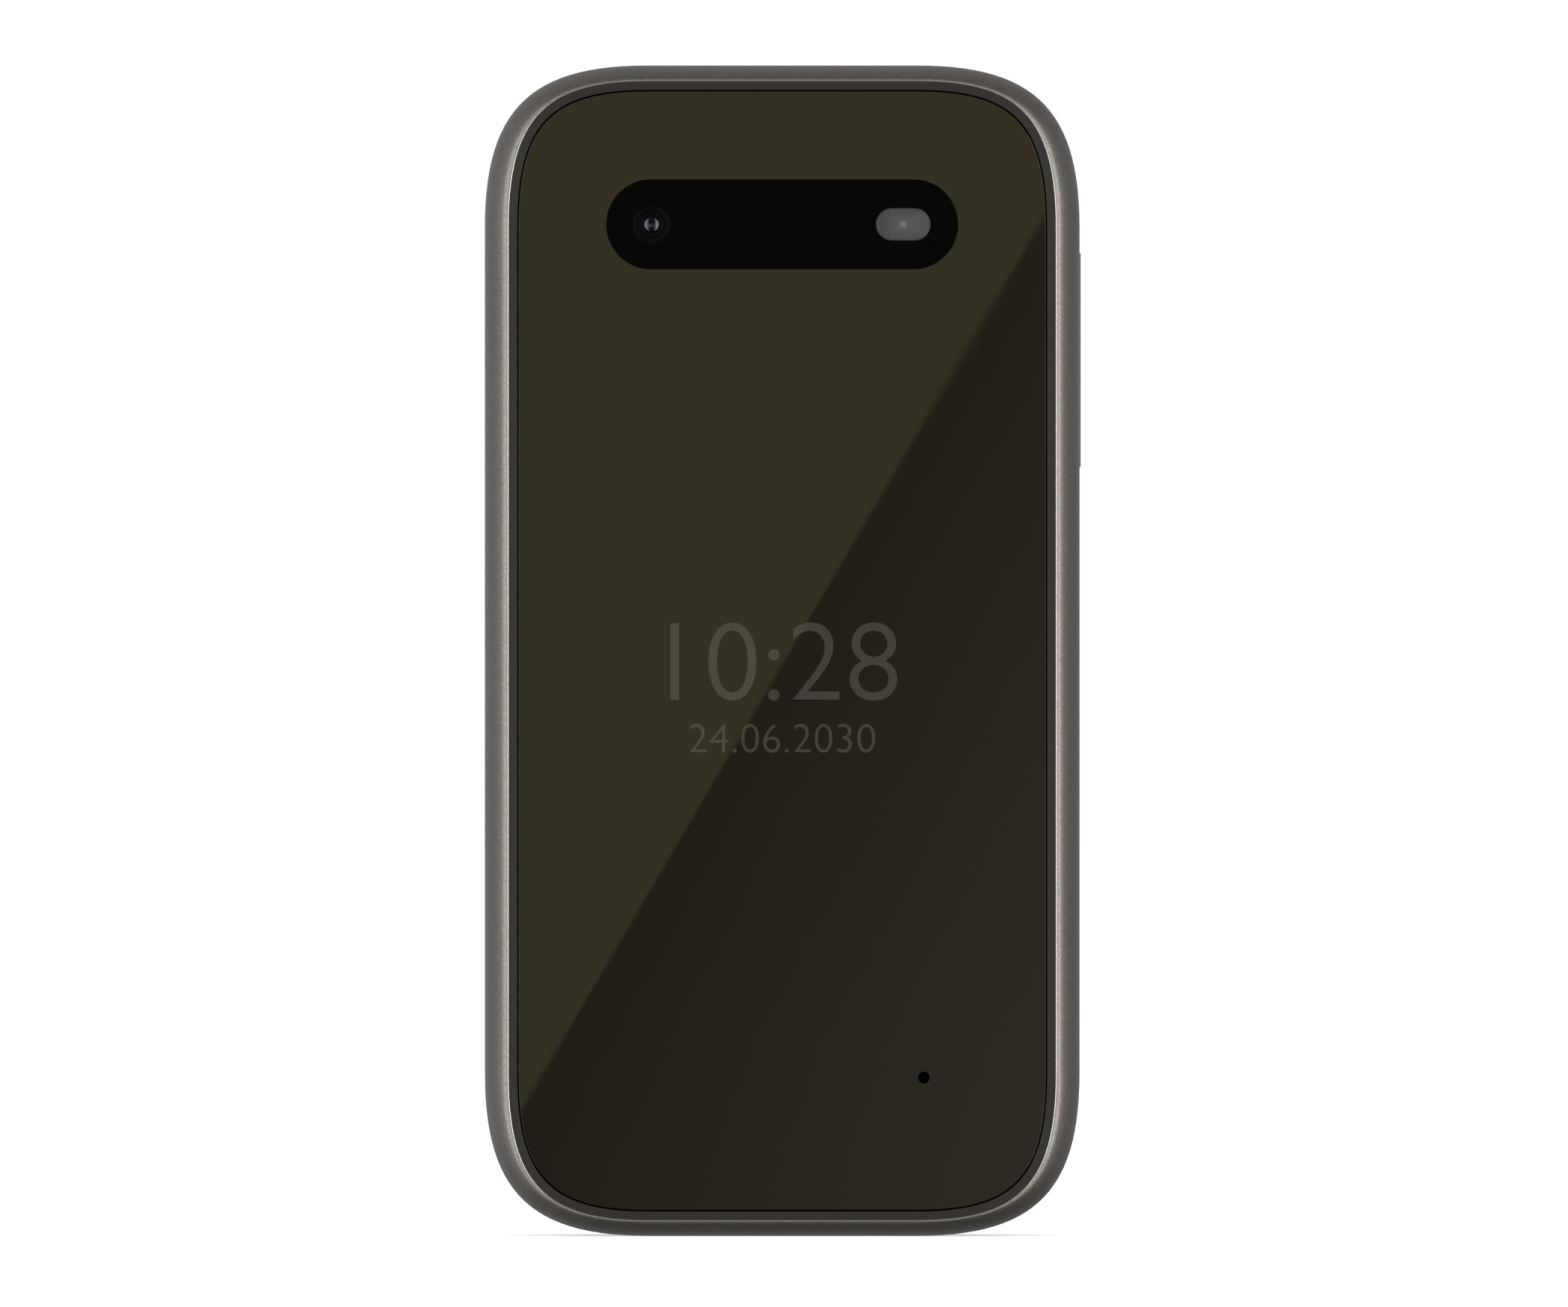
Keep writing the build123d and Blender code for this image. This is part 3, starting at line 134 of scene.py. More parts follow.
def eased(points, reach, steps=4):
    """A profile with its corners eased: a corner V becomes P = (1-t)^2 A + 2(1-t)t V + t^2 B,
    where A and B lie within reach before and after V."""
    points = np.array(points, float)
    t = np.linspace(0, 1, steps)[:, None]
    rows = [points[:1]]
    for before, corner, after in zip(points, points[1:], points[2:]):
        ways = [(end - corner) * min(0.5, reach / max(np.linalg.norm(end - corner), 1e-9)) for end in (before, after)]
        first, last = corner + ways[0], corner + ways[1]
        rows.append((1 - t) ** 2 * first + 2 * (1 - t) * t * corner + t ** 2 * last)
    return np.vstack(rows + [points[-1:]])


# ---- meshes ------------------------------------------------------------------------

def closed_skin(name, rings, look=None, bands=None, ring_shaped=False):
    """Quads between each ring and the next, with a lid on the first and last ring, or joined round if ring-shaped.
    bands gives rows of faces another of the piece's looks."""
    rows, around = rings.shape[:2]
    index = np.arange(rows * around).reshape(rows, around)
    here, there = (index, np.roll(index, -1, 0)) if ring_shaped else (index[:-1], index[1:])
    quads = np.stack([here, np.roll(here, -1, 1), np.roll(there, -1, 1), there], -1).reshape(-1, 4)
    faces = quads.tolist() + ([] if ring_shaped else [index[0].tolist(), index[-1].tolist()])
    mesh = bpy.data.meshes.new(name)
    mesh.from_pydata((rings.reshape(-1, 3) * MM).tolist(), [], faces)
    if bands is not None:
        marks = np.zeros(len(faces), np.int32)
        marks[:len(quads)] = np.repeat(bands, around)
        mesh.polygons.foreach_set("material_index", marks)
    point_outwards(mesh)
    thing = bpy.data.objects.new(name, mesh)
    bpy.context.scene.collection.objects.link(thing)
    for each in ([look] if isinstance(look, str) else look or []):
        mesh.materials.append(LOOKS[each])
    return thing


def point_outwards(mesh, merge=0.0):
    """Merges doubles if asked, and turns all faces outwards."""
    work = bmesh.new()
    work.from_mesh(mesh)
    if merge:
        bmesh.ops.remove_doubles(work, verts=work.verts, dist=merge)
    bmesh.ops.recalc_face_normals(work, faces=work.faces)
    work.to_mesh(mesh)
    work.free()


def settle(thing):
    """Turns what the modifiers make into the piece's own mesh."""
    bpy.context.view_layer.update()
    made = bpy.data.meshes.new_from_object(thing.evaluated_get(bpy.context.evaluated_depsgraph_get()))
    thing.modifiers.clear()
    thing.data = made
    return thing


def joined(thing, tools, operation):
    """Cuts tools from a piece, joins them to it or keeps what they share, then removes the tools."""
    for tool in tools:
        change = thing.modifiers.new(operation.lower(), "BOOLEAN")
        change.operation, change.solver, change.object = operation, "EXACT", tool
    settle(thing)
    for tool in tools:
        bpy.data.objects.remove(tool)
    return thing


def block(x0, x1, y0, y1, z0, z1):
    """A plain cutting block."""
    return closed_skin("block", side_rings([(y0, z0), (y1, z0), (y1, z1), (y0, z1)], x0, x1))


def smooth(thing, sharp=38.0):
    """Smooth shading that stops at edges sharper than an angle, weighted by the size of the faces."""
    thing.data.shade_smooth()
    thing.data.set_sharp_from_angle(angle=np.radians(sharp))
    even = thing.modifiers.new("even_light", "WEIGHTED_NORMAL")
    even.keep_sharp = True
    return thing


def mount(thing, body, slot, *replaced):
    """The piece rides on a body and stands for CAD nodes, which it hides; slot is not used."""
    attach(thing, body)
    if replaced:
        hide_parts(*replaced)
    return thing


def stands_for(thing, node, sharp=38.0):
    """A finished piece that stands for one CAD node, on that node's body."""
    return mount(smooth(thing, sharp), BODY_OF[node], SLOT_OF[node], node)


# ---- colour and materials -------------------------------------------------------------

def linear(tone):
    """An sRGB hex colour as linear red, green, blue and alpha."""
    parts = np.array([int(tone[i:i + 2], 16) / 255 for i in (1, 3, 5)])
    parts = np.where(parts <= 0.04045, parts / 12.92, ((parts + 0.055) / 1.055) ** 2.4)
    return (*parts.tolist(), 1.0)


def add(tree, kind, feeds=None, **settings):
    """Adds one node, sets its settings, and feeds its inputs with values or with other nodes' sockets."""
    made = tree.nodes.new(kind)
    for name, value in settings.items():
        setattr(made, name, value)
    for name, value in (feeds or {}).items():
        if isinstance(value, bpy.types.NodeSocket):
            tree.links.new(value, made.inputs[name])
        else:
            made.inputs[name].default_value = value
    return made


def calc(tree, operation, first, second=0.0):
    """The result of one sum on sockets or numbers."""
    return add(tree, "ShaderNodeMath", {0: first, 1: second}, operation=operation).outputs[0]


def material(name):
    """A new, empty material; returns it and its node tree."""
    made = bpy.data.materials.new(name)
    made.use_nodes = True
    made.node_tree.nodes.clear()
    LOOKS[name] = made
    return made, made.node_tree


def shade(tree, shader):
    """Puts a shader's socket on the material's surface."""
    add(tree, "ShaderNodeOutputMaterial", {"Surface": shader})


def blend_tones(tree, share, first, second):
    """A colour between two, by a share; each is a hex colour or a socket."""
    ends = [linear(tone) if isinstance(tone, str) else tone for tone in (first, second)]
    return add(tree, "ShaderNodeMix", {"Factor": share, 6: ends[0], 7: ends[1]}, data_type="RGBA").outputs[2]


def in_a_box(tree, place, centre, size, soft):
    """1 inside a rectangle of X and Z, falling to 0 over a soft edge: 1 - max(|x| - w/2, |z| - h/2) / soft."""
    at = add(tree, "ShaderNodeSeparateXYZ", {0: place})
    far = []
    for axis, middle, length in zip("XZ", centre, size):
        off = calc(tree, "ABSOLUTE", calc(tree, "SUBTRACT", at.outputs[axis], middle * MM))
        far.append(calc(tree, "SUBTRACT", off, length / 2 * MM))
    return add(tree, "ShaderNodeMapRange", {"Value": calc(tree, "MAXIMUM", *far), "From Min": 0.0,
                                            "From Max": soft * MM, "To Min": 1.0, "To Max": 0.0}).outputs[0]


def grained(name, tones, grain, rough, bump=0.0, stretch=(1, 1, 1), detail=3.0, flake=0.0, pattern=None, **shader):
    """A surface whose tone, roughness and tiny relief follow one noise.

    tones: two close colours; grain: size of one speck in mm; rough: lowest and highest roughness;
    bump: height of the relief in mm; stretch: squeezes the specks along an axis, as brushing does;
    flake: how far single flakes differ in tone; pattern: a function that changes the tone further.
    """
    made, tree = material(name)
    place = add(tree, "ShaderNodeTexCoord").outputs["Object"]
    drawn = add(tree, "ShaderNodeMapping", {"Vector": place, "Scale": stretch}).outputs[0]
    speck = add(tree, "ShaderNodeTexNoise", {"Vector": drawn, "Scale": 1 / (grain * MM), "Detail": detail})
    tone = blend_tones(tree, speck.outputs["Fac"], *tones)
    if flake:
        cell = add(tree, "ShaderNodeTexVoronoi", {"Vector": drawn, "Scale": 1 / (grain * MM)})
        bright = add(tree, "ShaderNodeSeparateColor", {0: cell.outputs["Color"]}).outputs[0]
        gain = add(tree, "ShaderNodeMapRange", {"Value": bright, "To Min": 1 - flake, "To Max": 1 + flake}).outputs[0]
        tone = add(tree, "ShaderNodeVectorMath", {0: tone, 3: gain}, operation="SCALE").outputs[0]
    if pattern:
        tone = pattern(tree, place, tone)
    gloss = add(tree, "ShaderNodeMapRange", {"Value": speck.outputs["Fac"], "From Min": 0.3, "From Max": 0.7,
                                             "To Min": rough[0], "To Max": rough[1]}).outputs[0]
    feeds = {"Base Color": tone, "Roughness": gloss}
    if bump:
        relief = add(tree, "ShaderNodeBump", {"Height": speck.outputs["Fac"], "Distance": bump * MM, "Strength": 1.0})
        feeds["Normal"] = relief.outputs[0]
    feeds.update({key.replace("_", " "): value for key, value in shader.items()})
    shade(tree, add(tree, "ShaderNodeBsdfPrincipled", feeds).outputs[0])
    return made


def traces(tree, place, tone):
    """Copper tracks under solder mask, 0.5 mm apart: the edges of city-block cells, slightly lighter."""
    cell = add(tree, "ShaderNodeTexVoronoi", {"Vector": place, "Scale": 1 / (1.6 * MM), "Randomness": 0.7},
               distance="MANHATTAN", feature="F2")
    line = add(tree, "ShaderNodeMapRange", {"Value": cell.outputs["Distance"], "From Min": 0.75, "From Max": 0.8})
    return blend_tones(tree, line.outputs[0], tone, "#2c6b4a")


def weave(tree, place, tone):
    """Woven wire, 0.4 mm pitch: dark holes where neither the upright nor the level wires run."""
    at = add(tree, "ShaderNodeSeparateXYZ", {0: place})
    waves = []
    for axis in "XZ":
        waves.append(calc(tree, "SINE", calc(tree, "MULTIPLY", at.outputs[axis], 2 * np.pi / (0.4 * MM))))
    return blend_tones(tree, calc(tree, "MAXIMUM", *waves), "#050505", tone)


def bare_label(tree, place, tone):
    """The paler printed field on the battery's back, without any print."""
    return blend_tones(tree, in_a_box(tree, place, (0, 49.5), (26, 40), 0.1), tone, "#8d9095")


def sleeping_screen(tree, place, tone):
    """The display area behind its glass: a shade paler than the black border, in cells 0.3 mm wide."""
    field = in_a_box(tree, place, (0, 47.0), (45.0, 63.0), 0.2)
    cell = add(tree, "ShaderNodeTexChecker", {"Vector": place, "Scale": 1 / (0.3 * MM), "Color1": linear("#23262b"),
                                             "Color2": linear("#1d2025")})
    return blend_tones(tree, field, tone, cell.outputs[0])


def led_spot_and_painted_edge_shade(tree, place, tone):
    """The light source behind the milky lens: a soft pale square; painted shade darkens the lens towards its edge, most
    to the left.
    """
    # Painted shade: the lens darker towards its edge; the box sits 0.35 mm right, so the left edge is darkest.
    edge = in_a_box(tree, place, (FLASH_X + 0.35, PILL_UP), (FLASH_W - 3.6, FLASH_H - 2.4), 1.5)
    tone = blend_tones(tree, edge, "#383837", tone)
    return blend_tones(tree, in_a_box(tree, place, (FLASH_X, PILL_UP), (0.3, 0.3), 0.25), tone, "#6a6a68")


def painted_shade_at_the_ends(tree, place, tone):
    """Painted shade on the crest: darker within 21 mm of the middle, across the two ends, than along the sides."""
    return blend_tones(tree, in_a_box(tree, place, (0, 54.2), (42, 120), 5.0), tone, "#706d67")


# Metallic lacquer sprayed on moulded polycarbonate: a warm dark silver, satin, with flakes that glint.
# The flakes are 0.03 mm and are drawn at 0.11 mm, so that they show.
grained("satin_flake_lacquer", ("#7c7872", "#706c66"), 0.11, (0.31, 0.39), 0.003, detail=2.0, flake=0.16,
        Metallic=0.75)
# The crest of the rim: a hair's breadth of brighter, smoother metal whose pale colour is a painted highlight that draws
# a line of light.
grained("crest_painted_highlight", ("#c2beb5", "#b8b3aa"), 0.11, (0.22, 0.28), 0.002, flake=0.1,
        pattern=painted_shade_at_the_ends, Metallic=0.95)
# The same lacquer, darker and duller, on the sloping strip round the panel.
grained("dark_trim_lacquer", ("#35322e", "#2f2c28"), 0.11, (0.5, 0.6), 0.002, flake=0.08,
        Specular_IOR_Level=0.12)
# Smoked polycarbonate with a hard coat, polished: deep olive brown and mirror-smooth.
grained("smoked_hardcoat_panel", ("#1b1712", "#191510"), 14.0, (0.0, 0.02), IOR=1.5)
# Back-printed black acrylic with an anti-reflection coat: swallows nearly all light.
grained("black_camera_acrylic", ("#040404", "#030303"), 6.0, (0.03, 0.06), Specular_IOR_Level=0.03)
grained("matt_black_lens_barrel", ("#0d0d0d", "#0a0a0a"), 0.15, (0.4, 0.5), 0.003, Specular_IOR_Level=0.02)
grained("lampblack_throat", ("#020202", "#010101"), 0.15, (0.6, 0.7), 0.003, Specular_IOR_Level=0.02)
# Coated optical glass: dark, with a violet bloom.
grained("coated_lens_glass", ("#0a0912", "#06060b"), 1.0, (0.03, 0.05), IOR=1.6,
        Specular_Tint=linear("#dcdaf0"))
# Milky polycarbonate of the flash lens, with painted shade towards its edge.
grained("milky_flash_diffuser", ("#4c4c4b", "#494948"), 0.3, (0.3, 0.4), 0.002, pattern=led_spot_and_painted_edge_shade,
        Specular_IOR_Level=0.2)
grained("display_cover_glass", ("#0b0c0e", "#090a0c"), 9.0, (0.01, 0.03), pattern=sleeping_screen, IOR=1.5)
grained("outer_display_glass", ("#0b0c0e", "#090a0c"), 9.0, (0.05, 0.1), IOR=1.5)
# Spark-eroded ABS moulding, black, with a fine even grain of 0.2 mm.
grained("spark_eroded_abs", ("#1f1e1d", "#161615"), 0.2, (0.42, 0.62), 0.015)
grained("solder_masked_board", ("#12452f", "#0c3323"), 0.9, (0.25, 0.4), 0.01, pattern=traces)
grained("woven_steel_mesh", ("#4a4a4a", "#333333"), 0.15, (0.3, 0.6), 0.02, pattern=weave, Metallic=0.7)
# Bright nickel plate over rolled sheet: faint lines along the rolling direction.
grained("nickel_plated_sheet", ("#b5b1a8", "#a39f96"), 0.25, (0.2, 0.36), 0.003, (1, 1, 12), Metallic=1.0)
grained("blackened_screw_steel", ("#4d4c4b", "#3b3a3a"), 0.2, (0.3, 0.45), 0.004, Metallic=1.0)
grained("ground_hinge_steel", ("#9a9a98", "#85858a"), 0.2, (0.22, 0.4), 0.003, (14, 1, 1), Metallic=1.0)
grained("buffer_rubber", ("#232220", "#191817"), 0.25, (0.65, 0.85), 0.02)
grained("black_flex_coverlay", ("#26221d", "#1c1916"), 0.6, (0.3, 0.45), 0.004)
# Key caps: painted polycarbonate, black, with the fine grain of a soft-touch coat.
grained("soft_touch_key_coat", ("#1d1c1b", "#171615"), 0.18, (0.4, 0.52), 0.006)
grained("anodised_ring_aluminium", ("#827e78", "#75726c"), 0.16, (0.26, 0.36), 0.003, flake=0.08, Metallic=1.0)
grained("battery_shrink_wrap", ("#3c4148", "#34393f"), 0.6, (0.3, 0.45), 0.01, pattern=bare_label)
grained("gold_plated_contact", ("#d8a95a", "#c5964a"), 0.2, (0.18, 0.32), 0.002, Metallic=1.0)
# What the outer display shows through the smoked panel: pale segments under the same polish.
grained("lit_segments", ("#403d37", "#3e3b35"), 2.0, (0.0, 0.02), IOR=1.5)
grained("key_legend_ink", ("#c9cbc8", "#bfc1be"), 0.5, (0.4, 0.5))
grained("call_green_ink", ("#3f9a4a", "#38903f"), 0.5, (0.4, 0.5))
grained("end_red_ink", ("#b8332c", "#ab2c26"), 0.5, (0.4, 0.5))

FINISH = {
    "satin_paint": "satin_flake_lacquer", "ring_paint": "anodised_ring_aluminium",
    "smoked_panel": "smoked_hardcoat_panel", "black_window": "black_camera_acrylic",
    "lens_glass": "coated_lens_glass", "flash_diffuser": "milky_flash_diffuser",
    "display_glass": "outer_display_glass", "black_moulding": "spark_eroded_abs",
    "circuit_board": "solder_masked_board", "steel_mesh": "woven_steel_mesh",
    "nickel_plate": "nickel_plated_sheet", "screw_steel": "blackened_screw_steel",
    "hinge_steel": "ground_hinge_steel", "buffer_rubber": "buffer_rubber", "flex_film": "black_flex_coverlay",
    "key_plastic": "soft_touch_key_coat", "battery_wrap": "battery_shrink_wrap",
    "gold_contact": "gold_plated_contact"}
for node, thing in frame["nodes"].items():
    thing.data.materials.clear()
    thing.data.materials.append(LOOKS[FINISH[SLOT_OF[node]]])
frame["nodes"]["main_display_window"].data.materials[0] = LOOKS["display_cover_glass"]


# ---- lid --------------------------------------------------------------------------------

def lid_frame():
    """The lid's shell: wall, rim, crest and sloping strip in one profile round the phone's outline.

    The rim is a quarter ellipse: inset = a (1 - cos s), y = start - depth sin s, for s from 0 to 90 degrees.
    Tray, hinge barrel, knuckle room and bores are then joined to it or cut from it.
    """
    s = np.linspace(0, np.pi / 2, 26)[:, None]
    rim = np.hstack([RIM_X * (1 - np.cos(s)), RIM_Z * (1 - np.cos(s)), RIM_START - RIM_DEPTH * np.sin(s)])
    wall = eased([(1, 1, LID_BACK), (0, 0, LID_BACK), (0, 0, RIM_START)], 0.2)
    land = [RIM_X + CREST_LAND, RIM_Z + CREST_LAND, FRONT]
    foot = [FOOT_X, FOOT_Z, PANEL_FRONT]
    strip = eased([rim[-1], land, foot, [foot[0], foot[1], PANEL_BACK]], 0.03)
    profile = np.vstack([wall[:-1], rim[:-1], strip])
    row = np.arange(len(profile) - 1) - len(profile) + len(strip)
    looks = np.where(row >= 6, 3, np.where(row >= 4, 2, np.where(row >= 0, 1, 0)))
    # The crest's rows take the metal whose pale colour is a painted highlight.
    shell = closed_skin("lid_frame_shell", oblong_rings(profile), (
        "satin_flake_lacquer", "crest_painted_highlight", "dark_trim_lacquer", "lampblack_throat"), looks)
    shell.data.polygons[-1].material_index = 3  # the bed under the panel is black
    barrel = closed_skin("barrel", rod_rings([(BARREL_R, -HALF_W - 1), (BARREL_R, HALF_W + 1)]))
    joined(barrel, [closed_skin("room", oblong_rings([(0, 0, LID_BACK - 1), (0, 0, 2)]))], "INTERSECT")
    joined(shell, [barrel], "UNION")
    tray = closed_skin("tray", oblong_rings([(LID_WALL, LID_WALL, BED_BACK), (LID_WALL, LID_WALL, LID_BACK + 1)]))
    joined(tray, [block(-HALF_W, HALF_W, FRONT, 9, -1, ARM_Z)], "INTERSECT")
    over = [(HINGE_Y, HINGE_Z), (HINGE_Y - 14, HINGE_Z + 52), (50, 160), (50, ARM_Z - 1), (HINGE_Y - 0.8, ARM_Z - 1)]
    through = [(0, PANEL_BACK - 0.5), (0, BED_BACK + 1)]
    joined(shell, [
        tray, closed_skin("notch", side_rings(over, -NOTCH_HALF, NOTCH_HALF)),
        closed_skin("knuckle_room", rod_rings([(KNUCKLE_R + HINGE_CLEAR, -NOTCH_HALF),
                                              (KNUCKLE_R + HINGE_CLEAR, NOTCH_HALF)])),
        closed_skin("cam_bore", rod_rings([(2.22, 0), (2.22, 18.92)])),
        closed_skin("sleeve_bore", rod_rings([(2.05, -22.0), (2.05, 0.5)])),
        block(-21.85, -18.75, -5.75, -5.15, ARM_Z - 1, HINGE_Z),
        closed_skin("display_hole", pad_rings(through, 31.2, 39.2, 0.1, 0, 50.5)),
        closed_skin("barrel_hole", pad_rings(through, 4.1, 4.1, 2.05, CAMERA_X, PILL_UP)),
        closed_skin("flash_hole", pad_rings(through, 4.4, 2.6, 1.3, FLASH_X, PILL_UP))], "DIFFERENCE")
    return shell


stands_for(lid_frame(), "lid_frame")

# The panel: flat, its edge eased by 0.03 mm, with the window's opening and the microphone's hole.
panel = closed_skin("smoked_panel_plate", oblong_rings(eased(
    [(PANEL_X + 1, PANEL_Z + 1, PANEL_BACK), (PANEL_X, PANEL_Z, PANEL_BACK), (PANEL_X, PANEL_Z, PANEL_FRONT),
     (PANEL_X + 1, PANEL_Z + 1, PANEL_FRONT)], 0.03)), ("smoked_hardcoat_panel", "lampblack_throat"),
    [1, 1, 1, 1, 1, 0, 0, 0, 0])
through = [(0.01, PANEL_FRONT - 1), (0.01, PANEL_BACK + 1)]
joined(panel, [closed_skin("pill_hole", pad_rings(through, PILL_W, PILL_H, PILL_H / 2, 0, PILL_UP, 24)),
               closed_skin("mic_hole", pad_rings(through, 2 * MIC_R, 2 * MIC_R, MIC_R, MIC_X, MIC_Z, 12))],
       "DIFFERENCE")
stands_for(panel, "lid_outer_panel", 8.0)  # polished flat right up to its edge, so that mirrored lines stay straight
# The black window: eased by 0.05 mm, open over the lens and the flash.
window = closed_skin("camera_window_plate", pad_rings(eased(
    [(-1, PANEL_BACK), (0, PANEL_BACK), (0, PANEL_FRONT), (-1, PANEL_FRONT)], 0.05),
    PILL_W, PILL_H, PILL_H / 2, 0, PILL_UP, 24), "black_camera_acrylic")
joined(window, [closed_skin("lens_port", pad_rings(through, 3.5, 3.5, 1.75, CAMERA_X, PILL_UP, 16)),
                closed_skin("flash_port", pad_rings(through, FLASH_W, FLASH_H, FLASH_H / 2, FLASH_X, PILL_UP, 16))],
       "DIFFERENCE")
stands_for(window, "camera_window", 8.0)


def turned(name, profile, x, z, look, steps=56):
    """A turned piece: circles (r cos t, r sin t) in X and Z at each (radius, y) of the profile."""
    radius, y = np.array(profile, float).T
    t = np.linspace(0, 2 * np.pi, steps, endpoint=False)[None, :]
    ring_x = x + radius[:, None] * np.cos(t)
    rings = np.stack([ring_x, np.broadcast_to(y[:, None], ring_x.shape), z + radius[:, None] * np.sin(t)], -1)
    return closed_skin(name, rings, look)


# The microphone's sleeve: a black cup that lines the hole.
sleeve = turned("microphone_sleeve", [(0.02, -8.46), (0.47, -8.46), (0.5, -9.1), (0.53, -9.13), (0.53, -8.43),
                                      (0.02, -8.43)], MIC_X, MIC_Z, "lampblack_throat")
mount(smooth(sleeve), "lid", "black_moulding")

# The lens barrel seen through the window: a sloping collar round a deep throat.
collar = turned("lens_collar", [(0.02, -8.2), (0.72, -8.2), (0.76, -8.5), (1.22, -8.62), (1.28, -9.02), (1.34, -9.08),
                                (1.74, -9.17), (1.74, -8.42), (1.0, -8.0), (0.02, -8.0)], CAMERA_X, PILL_UP,
                "matt_black_lens_barrel")
mount(smooth(collar), "lid", "black_moulding")

# The front glass, a dome: y = foot - rise cos(s), radius r sin(s), for s from 0 to 90 degrees.
s = np.linspace(0.02, np.pi / 2, 16)
glass = turned("lens_front_glass", np.vstack([np.stack([0.69 * np.sin(s), -8.45 - 0.06 * np.cos(s)], -1),
                                              [(0.69, -8.25), (0.02, -8.25)]]), CAMERA_X, PILL_UP, "coated_lens_glass")
stands_for(glass, "camera_lens")

# The flash lens: pillowed a little, its edge eased by 0.15 mm.
flash = closed_skin("flash_lens_pill", pad_rings(eased(
    [(-1, PANEL_BACK), (-0.03, PANEL_BACK), (-0.03, PANEL_FRONT + 0.04), (-1.2, PANEL_FRONT)], 0.15),
    FLASH_W, FLASH_H, FLASH_H / 2, FLASH_X, PILL_UP, 16), "milky_flash_diffuser")
stands_for(flash, "flash_lens")


# ---- figures and signs ---------------------------------------------------------------------

def figures(name, words, height, centre, face, body, look, slot, thin=0.0):
    """Flat figures cut as thin plates: set as text, made a mesh, then scaled to their height and put in place."""
    font = bpy.data.curves.new(name, "FONT")
    font.body = words
    font.offset = thin
    font.extrude = 0.004
    font.resolution_u = 5
    holder = bpy.data.objects.new(name + "_text", font)
    bpy.context.scene.collection.objects.link(holder)
    bpy.context.view_layer.update()
    mesh = bpy.data.meshes.new_from_object(holder.evaluated_get(bpy.context.evaluated_depsgraph_get()))
    bpy.data.objects.remove(holder)
    spots = np.zeros(len(mesh.vertices) * 3)
    mesh.vertices.foreach_get("co", spots)
    spots = spots.reshape(-1, 3)
    low, high = spots.min(0), spots.max(0)
    size = height / (high[1] - low[1])
    x = (spots[:, 0] - (low[0] + high[0]) / 2) * size + centre[0]
    z = (spots[:, 1] - (low[1] + high[1]) / 2) * size + centre[1]
    y = face + 0.01 - (spots[:, 2] - low[2]) / (high[2] - low[2]) * 0.02
    mesh.vertices.foreach_set("co", (np.stack([x, y, z], 1) * MM).ravel())
    mesh.materials.clear()
    mesh.materials.append(LOOKS[look])
    point_outwards(mesh, 1e-7)
    thing = bpy.data.objects.new(name, mesh)
    bpy.context.scene.collection.objects.link(thing)
    return mount(thing, body, slot)


figures("clock_figures", "10:28", 7.26, (0.15, 53.2), PANEL_FRONT, "lid", "lit_segments", "display_glass", -0.011)
figures("date_figures", "24.06.2030", 2.68, (0.0, 46.1), PANEL_FRONT, "lid", "lit_segments", "display_glass", -0.011)


# ---- keys -----------------------------------------------------------------------------------

def key_cap(node, width, height, radius, x, z):
    """A key: plunger, flange and a cap whose top is pillowed by 0.06 mm with a soft 0.3 mm edge."""
    cap = eased([(0, KEY_UNDER), (0, KEY_TOP + 0.06), (-1.6, KEY_TOP)], 0.3, 6)
    flange = [(-3, 0.15), (0.45, 0.15), (0.45, KEY_UNDER)]
    thing = closed_skin(node + "_cap", pad_rings(np.vstack([flange, cap]), width, height, radius, x, z),
                        "soft_touch_key_coat")
    plunger = closed_skin("plunger", pad_rings([(0, 0.1), (0, 0.65)], 2.4, 2.4, 1.2, x, z), "soft_touch_key_coat")
    joined(thing, [plunger], "UNION")
    return stands_for(thing, node)


def bar(name, width, height, x, z, look, body):
    """A short printed bar with round ends, 0.02 mm thick."""
    thing = closed_skin(name, pad_rings([(0, KEY_TOP + 0.03), (0, KEY_TOP - 0.01)], width, height, height / 2, x, z, 6),
                        look)
    return mount(smooth(thing), body, "key_plastic")


for row, names in enumerate((("star", "0", "hash"), ("7", "8", "9"), ("4", "5", "6"), ("1", "2", "3"))):
    for column, name in enumerate(names):
        x, z = KEY_PITCH_X * (column - 1), KEY_FIRST_UP + KEY_PITCH_Z * row
        key_cap(f"key_{name}", KEY_W, KEY_H, KEY_R, x, z)
        sign = {"star": "*", "hash": "#"}.get(name, name)
        figures(f"sign_{name}", sign, {"star": 1.9}.get(name, 3.1), (x, z), KEY_TOP, f"key_{name}", "key_legend_ink",
                "key_plastic")
for side, soft, call, ink in ((-1, "soft_key_left", "call_key", "call_green_ink"),
                              (1, "soft_key_right", "end_key", "end_red_ink")):
    x = side * SIDE_KEY_X
    key_cap(soft, SIDE_KEY_W, SIDE_KEY_H, KEY_R, x, SOFT_KEY_UP)
    key_cap(call, SIDE_KEY_W, SIDE_KEY_H, KEY_R, x, CALL_KEY_UP)
    bar(soft + "_bar", 3.0, 0.55, x, SOFT_KEY_UP, "key_legend_ink", soft)
    bar(call + "_bar", 4.2, 0.8, x, CALL_KEY_UP, ink, call)

# The four-way ring: one closed section carried round, from its outer edge over a dished top to the hole.
outer = pad_rings(eased([(-0.4, 0.45), (0.45, 0.45), (0.45, 0.05), (0, 0.05), (0, KEY_TOP + 0.05), (-2.2, KEY_TOP)],
                        0.28, 5), NAV_SIDE, NAV_SIDE, NAV_R, 0, NAV_UP, 16)
inner = pad_rings(eased([(2.0, KEY_TOP + 0.12), (0.25, KEY_TOP + 0.25), (0, KEY_TOP + 0.5), (0, 0.45), (1.0, 0.45)],
                        0.2, 4), 2 * NAV_HOLE_R, 2 * NAV_HOLE_R, NAV_HOLE_R, 0, NAV_UP, 16)
ring = closed_skin("four_way_ring", np.vstack([outer, inner]), "anodised_ring_aluminium", ring_shaped=True)
stands_for(ring, "nav_ring")
